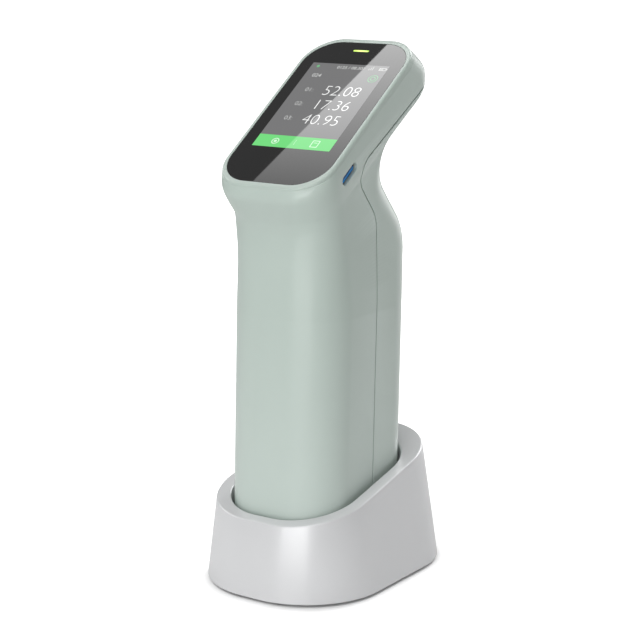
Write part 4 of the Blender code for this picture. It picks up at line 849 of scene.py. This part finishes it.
GROUND = lit("display ground", (0.166, 0.166, 0.168), 0.06)
WHITE_MARK = lit("display white", (0.95, 0.96, 0.95))
SOFT_MARK = lit("display soft marks", (0.62, 0.63, 0.62))
DIM_MARK = lit("display dim marks", (0.42, 0.43, 0.42))
GREEN_BAR = lit("display green", (0.17, 0.72, 0.21), Specular_IOR_Level=0.25)
PALE_MARK = lit("display pale marks", (0.72, 0.96, 0.74))
GREEN_MARK = lit("display faint green", (0.16, 0.48, 0.22))

DISPLAY_SIZE = (41.0 * MM, 58.2 * MM)
PICTURE_LOW = -0.5 * MM
PICTURE_HIGH = -0.06 * MM
BAR_BOTTOM = -25.5 * MM
BAR_TOP = -17.7 * MM
BAR_MIDDLE = (BAR_TOP + BAR_BOTTOM) / 2
BAR_HIGH = -0.045 * MM
MARK_LOW = -0.1 * MM
MARK_HIGH = -0.03 * MM

picture_outline = block(*DISPLAY_SIZE, 0, WINDOW_RAISE)
plate("display_ground", GROUND, [picture_outline], PICTURE_LOW, PICTURE_HIGH)
bar_outline = block(DISPLAY_SIZE[0], BAR_TOP - BAR_BOTTOM, 0, BAR_MIDDLE)
plate("display_bar", GREEN_BAR, [bar_outline], MARK_LOW, BAR_HIGH)


def number(name, material, words, size, x, y, narrow=1.0, offset=0.0, align="RIGHT"):
    """Plain figures as a thin plate: its base line at y, its end or middle at x."""
    text = bpy.data.curves.new(name, "FONT")
    text.body = words
    text.size = size
    text.offset = offset
    text.align_x = align
    text.extrude = (MARK_HIGH - MARK_LOW) / 2
    text.resolution_u = 6
    shift = Matrix.Translation((x, y, (MARK_LOW + MARK_HIGH) / 2))
    face_plate(name, material, text, shift @ Matrix.Diagonal((narrow, 1, 1, 1)))


READING_SIZE = 9.6 * MM
READING_END = 15.2 * MM
READING_OFFSET = -0.2 * MM
LABEL_SIZE = 3.7 * MM
LABEL_END = -9.9 * MM
LABEL_RISE = 1.9 * MM
LABEL_OFFSET = -0.05 * MM
ROWS = ((10.7 * MM, "52.08"), (0.9 * MM, "17.36"), (-9.1 * MM, "40.95"))
for row, (base, reading) in enumerate(ROWS, start=1):
    figures = (f"reading_{row}", WHITE_MARK, reading, READING_SIZE, READING_END, base)
    number(*figures, narrow=0.93, offset=READING_OFFSET)
    label = (f"row_number_{row}", SOFT_MARK, f"0{row}:", LABEL_SIZE, LABEL_END, base + LABEL_RISE)
    number(*label, offset=LABEL_OFFSET)
print("readings:", [reading for _, reading in ROWS])

# %% [markdown]
# The small marks are flat plates too: signs of a battery, a signal and a lamp in the top row, a ring
# below them, and on the green bar a round mark and a page. Any display could show them.


# %% Small marks on the display
def mark(name, material, *loops):
    """A small plate on top of the picture."""
    plate(name, material, loops, MARK_LOW, MARK_HIGH)


def ring(outer, inner, x, y):
    return [shifted(circle(radius), x, y) for radius in (outer, inner)]


TOP_ROW = 30.3 * MM
BATTERY_X = 18.0 * MM
battery = block(3.6 * MM, 1.8 * MM, BATTERY_X, TOP_ROW)
battery_hole = block(3.0 * MM, 1.2 * MM, BATTERY_X, TOP_ROW)
mark("battery_mark", SOFT_MARK, battery, battery_hole)
mark("battery_level", DIM_MARK, block(1.7 * MM, 0.8 * MM, 17.4 * MM, TOP_ROW))
mark("battery_tip", SOFT_MARK, block(0.4 * MM, 0.8 * MM, 20.1 * MM, TOP_ROW))
mark("link_mark", GREEN_MARK, shifted(circle(0.8 * MM), -16.6 * MM, TOP_ROW))
for k in range(3):
    half = (0.6 + 0.35 * k) * MM
    signal = block(0.5 * MM, 2 * half, (11.0 + 0.9 * k) * MM, TOP_ROW - MM + half)
    mark(f"signal_{k + 1}", DIM_MARK, signal)
mark("lamp_mark", DIM_MARK, *ring(0.75 * MM, 0.45 * MM, 8.0 * MM, TOP_ROW))
clock = ("clock_figures", SOFT_MARK, "0125 / 08:30", 2.7 * MM, 0.6 * MM, TOP_ROW - MM)
number(*clock, align="CENTER")
number("count_figures", SOFT_MARK, "024", 3.3 * MM, -11.4 * MM, 22.8 * MM)
TARGET_SPOT = (16.4 * MM, 23.6 * MM)
mark("target_ring", GREEN_MARK, *ring(2.5 * MM, 2.15 * MM, *TARGET_SPOT))
mark("target_core", GREEN_MARK, *ring(1.3 * MM, 0.95 * MM, *TARGET_SPOT))
SAMPLE_SPOT = (-10.1 * MM, BAR_MIDDLE)
mark("sample_ring", PALE_MARK, *ring(1.9 * MM, 1.45 * MM, *SAMPLE_SPOT))
mark("sample_core", PALE_MARK, shifted(circle(0.8 * MM), *SAMPLE_SPOT))
PAGE_X = 10.9 * MM
page = shifted(round_outline((1.9 * MM, 2.2 * MM, 0.4 * MM)), PAGE_X, BAR_MIDDLE)
page_hole = shifted(round_outline((1.55 * MM, 1.85 * MM, 0.2 * MM)), PAGE_X, BAR_MIDDLE)
mark("page_mark", PALE_MARK, page, page_hole)
mark("page_line", PALE_MARK, block(1.9 * MM, 0.3 * MM, PAGE_X, BAR_MIDDLE + 0.7 * MM))
mark("bar_divider", PALE_MARK, block(0.12 * MM, 3.4 * MM, 0.4 * MM, BAR_MIDDLE))
displayed = [o for o in bpy.context.scene.objects if o.get("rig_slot") == "display"]
print("display pieces:", len(displayed))

# %% [markdown]
# The status light is a clear light pipe that ends in a slot in the glass. It glows yellow-green, and
# brightest in the middle of the slot, above its lamp, so its colour is blended by the distance there.

# %% Status light
LIGHT_SIZE = (8.3 * MM, 1.1 * MM)
LIGHT_TIP = (7.9 * MM, 0.8 * MM)
GLOW_REACH = 4.2 * MM

light_levels = [(stadium(*LIGHT_SIZE), height) for height in (-1.45 * MM, -0.07 * MM)]
light_levels.append((stadium(*LIGHT_TIP), -0.03 * MM))
light_end = in_head("light_pipe_end", light_levels, LIGHT_SPOT)
PIPE, pipe_tree, pipe_shader = bare_finish(
    "lit light pipe", Base_Color=(0.3, 0.5, 0.1, 1.0), Emission_Strength=1.15, Roughness=0.3
)
across = vectors(pipe_tree, "MULTIPLY", object_point(pipe_tree), (1.0, 0.0, 0.0))
outwards = vectors(pipe_tree, "LENGTH", across, result="Value")
outwards = ramp(pipe_tree, outwards, 0.0, GLOW_REACH)
glow = blend(pipe_tree, outwards, (0.82, 1.0, 0.28, 1.0), (0.40, 0.66, 0.05, 1.0))
feed(pipe_tree, pipe_shader, {"Emission Color": glow})
settle(light_end, "instrument", "light", PIPE)
print("status light", round(LIGHT_SIZE[0] / MM, 1), "mm long")

# %% [markdown]
# The side key is a blue plastic bar, sunk in its slot, with a crowned face. It rides on its own body,
# because it presses in. In the photograph one long bright line runs along its crown. The key is only a
# few pixels wide, so that highlight is painted into the colour itself: bright blue where the surface
# faces outwards and a little away from the glass, and a painted shade of deep blue elsewhere.

# %% Side key
KEY_FIT = 0.35 * MM
KEY_CROWN = 0.9 * MM
KEY_CREST = 0.5 * MM
KEY_FLANGE = 2.0 * MM
KEY_FLANGE_DEPTH = 0.9 * MM
KEY_STEPS = 8
KEY_HIGHLIGHT_START = 0.9
KEY_HIGHLIGHT_FULL = 0.985
KEY_HIGHLIGHT_LEAN = 0.35

body_length = KEY_LENGTH - 2 * KEY_FIT
body_width = KEY_WIDTH - 2 * KEY_FIT
key_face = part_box("side_key")[1].x
key_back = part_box("side_key")[0].x
flange_top = key_back + KEY_FLANGE_DEPTH
flange = stadium(body_length + KEY_FLANGE, body_width + KEY_FLANGE)
key_levels = [(flange, key_back), (flange, flange_top), (stadium(body_length, body_width), flange_top)]
for inset, sunk in edge_steps(body_width - KEY_CREST, KEY_CROWN, KEY_STEPS):
    key_levels.append((stadium(body_length - inset, body_width - inset), key_face - sunk))
key = in_head("blue_key", key_levels, KEY_SPOT)
BLUE, blue_tree, blue_shader = bare_finish("blue key plastic", Specular_IOR_Level=0.22)
# Painted highlight and painted shade: bright blue where the key faces this way, deep blue elsewhere.
key_highlight_way = (Vector((1, 0, 0)) - IN_HEAD.to_3x3() @ Vector((0, 0, KEY_HIGHLIGHT_LEAN))).normalized()
normal = node(blue_tree, "ShaderNodeNewGeometry").outputs["Normal"]
facing = vectors(blue_tree, "DOT_PRODUCT", normal, key_highlight_way, result="Value")
key_highlight = ramp(blue_tree, facing, KEY_HIGHLIGHT_START, KEY_HIGHLIGHT_FULL)
shaded_and_lit_blues = blend(blue_tree, key_highlight, (0.0, 0.02, 0.08, 1.0), (0.03, 0.30, 0.78, 1.0))
blue_links = {"Colour": shaded_and_lit_blues, "Roughness": 0.2, "Grains per metre": 2500.0, "Depth": 0.03}
wire(blue_tree, placed(blue_tree, GRAIN, blue_links), blue_shader)
settle(key, "side_key", "key", BLUE, "side_key")
print("key face at", round(key_face / MM, 2), "mm")

# %% [markdown]
# The stand is one moulding: a tapered wall, a slanted top and the walls of the well. Its outline is a
# long round shape on the ground and a smaller one on the slanted top. The wall is drawn between them.

# %% Stand
STAND_GROUND = (42.7 * MM, 58.5 * MM, 37.9 * MM)
STAND_TOP = (37.3 * MM, 50.4 * MM, 30.6 * MM)
STAND_SHIFT = 3.05 * MM
STAND_HEIGHT = 47.8 * MM
STAND_SLOPE = math.tan(math.radians(13.5))
STAND_EDGE = 0.8 * MM
STAND_WALL = 2.4 * MM
STAND_FOOT = 1.0 * MM
WELL = (HANDLE_HALF_WIDTH + 2.1 * MM, HANDLE_HALF_DEPTH + 2.8 * MM, 26.4 * MM)
WELL_EDGE = 0.8 * MM
WELL_FLOOR = -0.9 * MM
WELL_PLATE = 2.4 * MM


def stand_pair(inset):
    """Points of the stand's outline on the ground, each with its partner on the slanted top."""
    pairs = []
    outlines = (round_outline(sizes, inset) for sizes in (STAND_GROUND, STAND_TOP))
    for (x, y), (top_x, top_y) in zip(*outlines):
        top_y -= STAND_SHIFT
        top_point = Vector((top_x, top_y, STAND_HEIGHT + STAND_SLOPE * top_y))
        pairs.append((Vector((x, y, STAND_FOOT)), top_point))
    return pairs


def stand_ring(share, inset):
    return [low.lerp(high, share) for low, high in stand_pair(inset)]


def stand_level(height, inset):
    return [low.lerp(high, (height - low.z) / (high.z - low.z)) for low, high in stand_pair(inset)]


def well_ring(grow, sunk):
    """The outline of the well, grown a little and carried up to the slanted top less a drop."""
    rise = math.cos(LEAN) - STAND_SLOPE * math.sin(LEAN)
    base = STAND_HEIGHT - sunk - IN_HANDLE.translation.z + STAND_SLOPE * IN_HANDLE.translation.y
    lift = math.sin(LEAN) + STAND_SLOPE * math.cos(LEAN)
    outline = round_outline(WELL, -grow)
    return [IN_HANDLE @ Vector((x, y, (base + y * lift) / rise)) for x, y in outline]


def well_level(grow):
    level = flat_ring(round_outline(WELL, -grow), WELL_FLOOR - WELL_PLATE)
    return [IN_HANDLE @ point for point in level]


stand_edge = list(edge_steps(STAND_EDGE, STAND_EDGE))
stand_rings = [
    well_level(0),
    *(well_ring(grow, sunk) for grow, sunk in edge_steps(WELL_EDGE, WELL_EDGE)),
    *(stand_ring(1 - sunk / STAND_HEIGHT, inset) for inset, sunk in reversed(stand_edge)),
    *(stand_level(STAND_FOOT + above, inset) for inset, above in stand_edge),
    stand_level(STAND_FOOT, STAND_WALL),
    stand_ring(1 - STAND_WALL / STAND_HEIGHT, STAND_WALL),
    well_ring(STAND_WALL, STAND_WALL),
    well_level(STAND_WALL),
]
stand = as_object("stand_moulding", loft(stand_rings, closed=True))
settle(stand, "stand", "stand", LACQUER, "stand_shell")
print("stand faces:", len(stand.data.polygons))

# %% [markdown]
# The pieces inside, and those under the stand, keep the frame's own shapes. They still get real
# finishes: solder mask with copper tracks under it, zinc with fine streaks, rubber, foam and glaze.

# %% Node group for streaks
STREAKS, streaks_in, streaks_out = new_group(
    "Brushed streaks",
    [("Roughness", NUMBER, 0.3), ("Stretch", VECTOR, (400.0, 400.0, 9000.0)), ("Depth", NUMBER, 0.1)],
    [("Roughness", NUMBER), ("Normal", VECTOR)],
)
streak_spot = object_point(STREAKS)
stretched = vectors(STREAKS, "MULTIPLY", streak_spot, streaks_in.outputs["Stretch"])
streak = noise(STREAKS, stretched, 1.0, 3.0)
patch = ramp(STREAKS, streak, 0.0, 1.0, 0.7, 1.35)
patch = maths(STREAKS, "MULTIPLY", patch, streaks_in.outputs["Roughness"])
scratches = relief(STREAKS, streak, streaks_in.outputs["Depth"], 0.02 * MM)
feed(STREAKS, streaks_out, {"Roughness": patch, "Normal": scratches})


def streaked(name, colour, roughness, stretch=(400.0, 400.0, 9000.0), depth=0.2, **plain):
    """A finish with fine parallel streaks."""
    material, tree, shader = bare_finish(name, Base_Color=(*colour, 1.0), **plain)
    streak_links = {"Roughness": roughness, "Stretch": stretch, "Depth": depth}
    wire(tree, placed(tree, STREAKS, streak_links), shader)
    return material


ALONG_PART = (4000.0, 4000.0, 300.0)
ALONG_CABLE = (1500.0, 20.0, 20.0)
INNER_FINISHES = {
    "steel": streaked("zinc-plated steel", (0.60, 0.61, 0.63), 0.28, Metallic=1.0),
    "anodised": streaked(
        "black anodised metal", (0.035, 0.035, 0.038), 0.38, ALONG_PART, depth=0.12, Metallic=0.9
    ),
    "cable": streaked("amber ribbon cable", (0.50, 0.27, 0.05), 0.35, ALONG_CABLE, depth=0.5),
    # The two inner plastics also get a painted highlight on their edges: their last two values.
    "black_plastic": grained(
        "black inner plastic", (0.022, 0.022, 0.023), 0.55, 1800.0, 0.3, 0.03, (0.05, 0.05, 0.05), 0.4
    ),
    "grey_plastic": grained(
        "grey inner plastic", (0.27, 0.28, 0.29), 0.5, 1500.0, 0.25, 0.03, (0.36, 0.37, 0.38), 0.4
    ),
    "rubber": grained("black rubber", (0.02, 0.02, 0.02), 0.85, 1200.0, 0.5),
    "foam": grained("black sealing foam", (0.018, 0.018, 0.018), 0.95, 3500.0, 1.0),
    "cell_wrap": grained("battery wrap", (0.04, 0.12, 0.30), 0.32, 300.0, 0.25, Coat_Weight=0.4),
    "ceramic": grained(
        "white reference glaze", (0.90, 0.90, 0.885), 0.22, 500.0, 0.03, 0.01, Coat_Weight=0.5
    ),
    "display": grained("display back plastic", (0.03, 0.03, 0.032), 0.4, depth=0.05),
    "light": grained(
        "clear light pipe", (0.62, 0.68, 0.50), 0.15, depth=0.02, Transmission_Weight=0.4
    ),
}
print("inner finishes:", len(INNER_FINISHES))

# %% [markdown]
# A circuit board is recognised by its tracks. A grid of bricks gives their straight runs, and it only
# shifts the green and raises the surface by a hair.

# %% Circuit board finish
BOARD, board_tree, board_shader = bare_finish("green solder mask", Coat_Weight=0.4, Coat_Roughness=0.2)
track_links = {
    "Vector": object_point(board_tree),
    "Color1": (0.010, 0.105, 0.045, 1.0),
    "Color2": (0.014, 0.125, 0.055, 1.0),
    "Mortar": (0.03, 0.22, 0.09, 1.0),
    "Scale": 260.0,
    "Mortar Size": 0.05,
}
tracks = node(board_tree, "ShaderNodeTexBrick", track_links)
board_links = {
    "Colour": tracks.outputs["Color"],
    "Roughness": 0.42,
    "Grains per metre": 3000.0,
    "Depth": 0.05,
    "Drift": 0.1,
}
board_grain = placed(board_tree, GRAIN, board_links).outputs
board_look = {
    "Base Color": board_grain["Colour"],
    "Roughness": board_grain["Roughness"],
    "Normal": relief(board_tree, tracks.outputs["Fac"], 0.4, 0.04 * MM),
}
feed(board_tree, board_shader, board_look)
print("board finish:", BOARD.name)

# %% [markdown]
# The record names a material slot for every solid. One table gives each slot its finish, and a loop
# hands them out, also to the solids that a finer mesh has replaced.

# %% Finishes for the carried-over solids
OUTER_FINISHES = {"housing": SAGE, "stand": LACQUER, "glass": GLASS, "key": BLUE, "board": BOARD}
FINISH_OF_SLOT = INNER_FINISHES | OUTER_FINISHES
for subpart in frame["record"]["subparts"]:
    solid = frame["nodes"][subpart["node"]]
    solid.data.materials.clear()
    solid.data.materials.append(FINISH_OF_SLOT[subpart["material_slot"]])
    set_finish(solid, subpart["material_slot"])

# %% [markdown]
# The stage is a pale floor that goes over into a white world, and it takes the soft shadow of the
# stand. For the camera only, the floor also gives a little light of its own, so it comes out as white
# paper. That light starts at the outline of the stand, moved a little towards the camera, so the thin
# dark line under the stand's edge stays dark.

# %% Floor and world
FLOOR_REACH = 6.0
SHADOW_SHIFT = direction(CAMERA_AZIMUTH, 0) * 2.5 * MM
EDGE_OF_STAND = STAND_GROUND[2]
NEAR_SPREAD = 3 * MM
NEAR_LIGHT = 0.45
FAR_START = 20 * MM
FAR_END = 0.6
FAR_LIGHT = 0.7
WORLD_LIGHT = 0.2
WHITE = (1.0, 1.0, 1.0, 1.0)

floor_bm = bmesh.new()
bmesh.ops.create_grid(floor_bm, x_segments=1, y_segments=1, size=FLOOR_REACH)
floor = as_object("floor", floor_bm)
PAPER, paper_tree, paper_shader = bare_finish(
    "pale floor", Base_Color=(0.86, 0.86, 0.86, 1.0), Roughness=0.9, Emission_Color=WHITE
)
corner_spot = (STAND_GROUND[0] - EDGE_OF_STAND, STAND_GROUND[1] - EDGE_OF_STAND, 0)
outward = vectors(paper_tree, "SUBTRACT", object_point(paper_tree), SHADOW_SHIFT)
outward = vectors(paper_tree, "ABSOLUTE", outward)
outward = vectors(paper_tree, "SUBTRACT", outward, corner_spot)
outward = vectors(paper_tree, "MAXIMUM", outward, (0, 0, 0))
outward = vectors(paper_tree, "LENGTH", outward, result="Value")
near_start = EDGE_OF_STAND - NEAR_SPREAD
near_end = EDGE_OF_STAND + NEAR_SPREAD
near = ramp(paper_tree, outward, near_start, near_end, 0.0, NEAR_LIGHT)
far = ramp(paper_tree, outward, EDGE_OF_STAND + FAR_START, FAR_END, 0.0, FAR_LIGHT)
floor_glow = maths(paper_tree, "ADD", near, far)
camera_ray = node(paper_tree, "ShaderNodeLightPath").outputs["Is Camera Ray"]
seen = maths(paper_tree, "MULTIPLY", camera_ray, floor_glow)
feed(paper_tree, paper_shader, {"Emission Strength": seen})
floor.data.materials.append(PAPER)
floor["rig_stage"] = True

world = bpy.data.worlds.new("white studio")
world.use_nodes = True
bpy.context.scene.world = world
sky = world.node_tree
sky_ray = node(sky, "ShaderNodeLightPath").outputs["Is Camera Ray"]
sky_light = ramp(sky, sky_ray, 0.0, 1.0, WORLD_LIGHT, 1.0)
feed(sky, sky.nodes["Background"], {"Color": WHITE, "Strength": sky_light})
print("world light:", WORLD_LIGHT)

# %% [markdown]
# Soft lamps stand round the object. The one above and the high one behind it are the strongest, and a
# broad one in front keeps the faces even. Two tall narrow strips draw the long highlights down the
# handle and the stand. The lamps low behind, on the right at the back and on the left light the sides.

# %% Lamps
LAMP_DISTANCE = 1.3
LAMP_AIM = Vector((0, 0, 0.12))
BROAD = (0.6, 0.6)
STRIP = (0.16, 0.9)
# name, azimuth, elevation, width and height, watts
LAMPS = (
    ("high_lamp", 0, 62, BROAD, 5.7),
    ("front_lamp", 15, 8, BROAD, 3.7),
    ("left_strip", -4, 12, STRIP, 2.1),
    ("right_strip", 28, 12, STRIP, 1.8),
    ("low_back_lamp", 180, 8, BROAD, 2.0),
    ("high_back_lamp", 180, 38, BROAD, 7.9),
    ("back_side_lamp", 150, 8, BROAD, 1.0),
    ("left_lamp", -90, 38, BROAD, 2.6),
)
for lamp_name, azimuth, elevation, (width, height), watts in LAMPS:
    lamp_data = bpy.data.lights.new(lamp_name, "AREA")
    lamp_data.shape = "RECTANGLE"
    lamp_data.size = width
    lamp_data.size_y = height
    lamp_data.energy = watts
    lamp = linked(lamp_name, lamp_data)
    away = direction(math.radians(azimuth), math.radians(elevation))
    lamp.location = LAMP_AIM + away * LAMP_DISTANCE
    lamp.rotation_euler = (-away).to_track_quat("-Z", "Y").to_euler()

# %% [markdown]
# The glass mirrors a bright card with a slanted edge, and dark studio beside it. To place such a card,
# the camera's eye is mirrored in the plane of the glass. The part of the glass that should shine is
# then carried from that mirrored eye onto a plane further away. Only mirror-like rays meet the cards,
# so they change nothing else.

# %% Cards for the reflection
CARD_FARNESS = 1.6
CARD_REACH = 90.0 * MM
CARD_RAMP = 48.0 * MM
CARD_DIM = 2.0
CARD_BRIGHT = 6.0
DARK_SIDE = 0.4
EDGE_AT_CENTRE = 2.35 * MM
EDGE_SLANT = 0.1817

face_normal = IN_HEAD.to_3x3() @ Vector((0, 0, 1))
to_eye = camera.location - IN_HEAD.translation
mirrored_eye = camera.location - 2 * to_eye.dot(face_normal) * face_normal
card_centre = mirrored_eye + CARD_FARNESS * (IN_HEAD.translation - mirrored_eye)
card_place = Matrix.Translation(card_centre) @ IN_HEAD.to_3x3().to_4x4()
edge_low = (EDGE_AT_CENTRE - EDGE_SLANT * CARD_REACH, -CARD_REACH)
edge_high = (EDGE_AT_CENTRE + EDGE_SLANT * CARD_REACH, CARD_REACH)


def card(name, corners, material):
    """A glowing sheet that only shows in reflections."""
    card_bm = bmesh.new()
    verts = [card_bm.verts.new((x * CARD_FARNESS, y * CARD_FARNESS, 0)) for x, y in corners]
    card_bm.faces.new(verts)
    made = as_object(name, card_bm, card_place)
    made.data.materials.append(material)
    made.visible_camera = False
    made.visible_diffuse = False
    made.visible_transmission = False
    made.visible_shadow = False
    made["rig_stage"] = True


WHITE_CARD, card_tree, card_shader = bare_finish(
    "white card", Base_Color=BLACK, Roughness=1.0, Emission_Color=WHITE
)
card_height = node(card_tree, "ShaderNodeSeparateXYZ", {0: object_point(card_tree)}).outputs["Y"]
ramp_end = CARD_RAMP * CARD_FARNESS
brightness = ramp(card_tree, card_height, -ramp_end, ramp_end, CARD_DIM, CARD_BRIGHT)
feed(card_tree, card_shader, {"Emission Strength": brightness})
BLACK_CARD, _, _ = bare_finish(
    "dark studio",
    Base_Color=BLACK,
    Roughness=1.0,
    Specular_IOR_Level=0.0,
    Emission_Color=WHITE,
    Emission_Strength=DARK_SIDE,
)
bright_side = [edge_low, (CARD_REACH, -CARD_REACH), (CARD_REACH, CARD_REACH), edge_high]
dark_side = [(-CARD_REACH, -CARD_REACH), edge_low, edge_high, (-CARD_REACH, CARD_REACH)]
card("white_card", bright_side, WHITE_CARD)
card("black_card", dark_side, BLACK_CARD)
print("cards stand", round((card_centre - IN_HEAD.translation).length, 2), "m from the glass")

# %% Sizes and the end
dressed_low, dressed_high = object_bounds()
dressed = [round(1000 * (high - low), 1) for low, high in zip(dressed_low, dressed_high)]
print("dressed box in mm:", dressed)
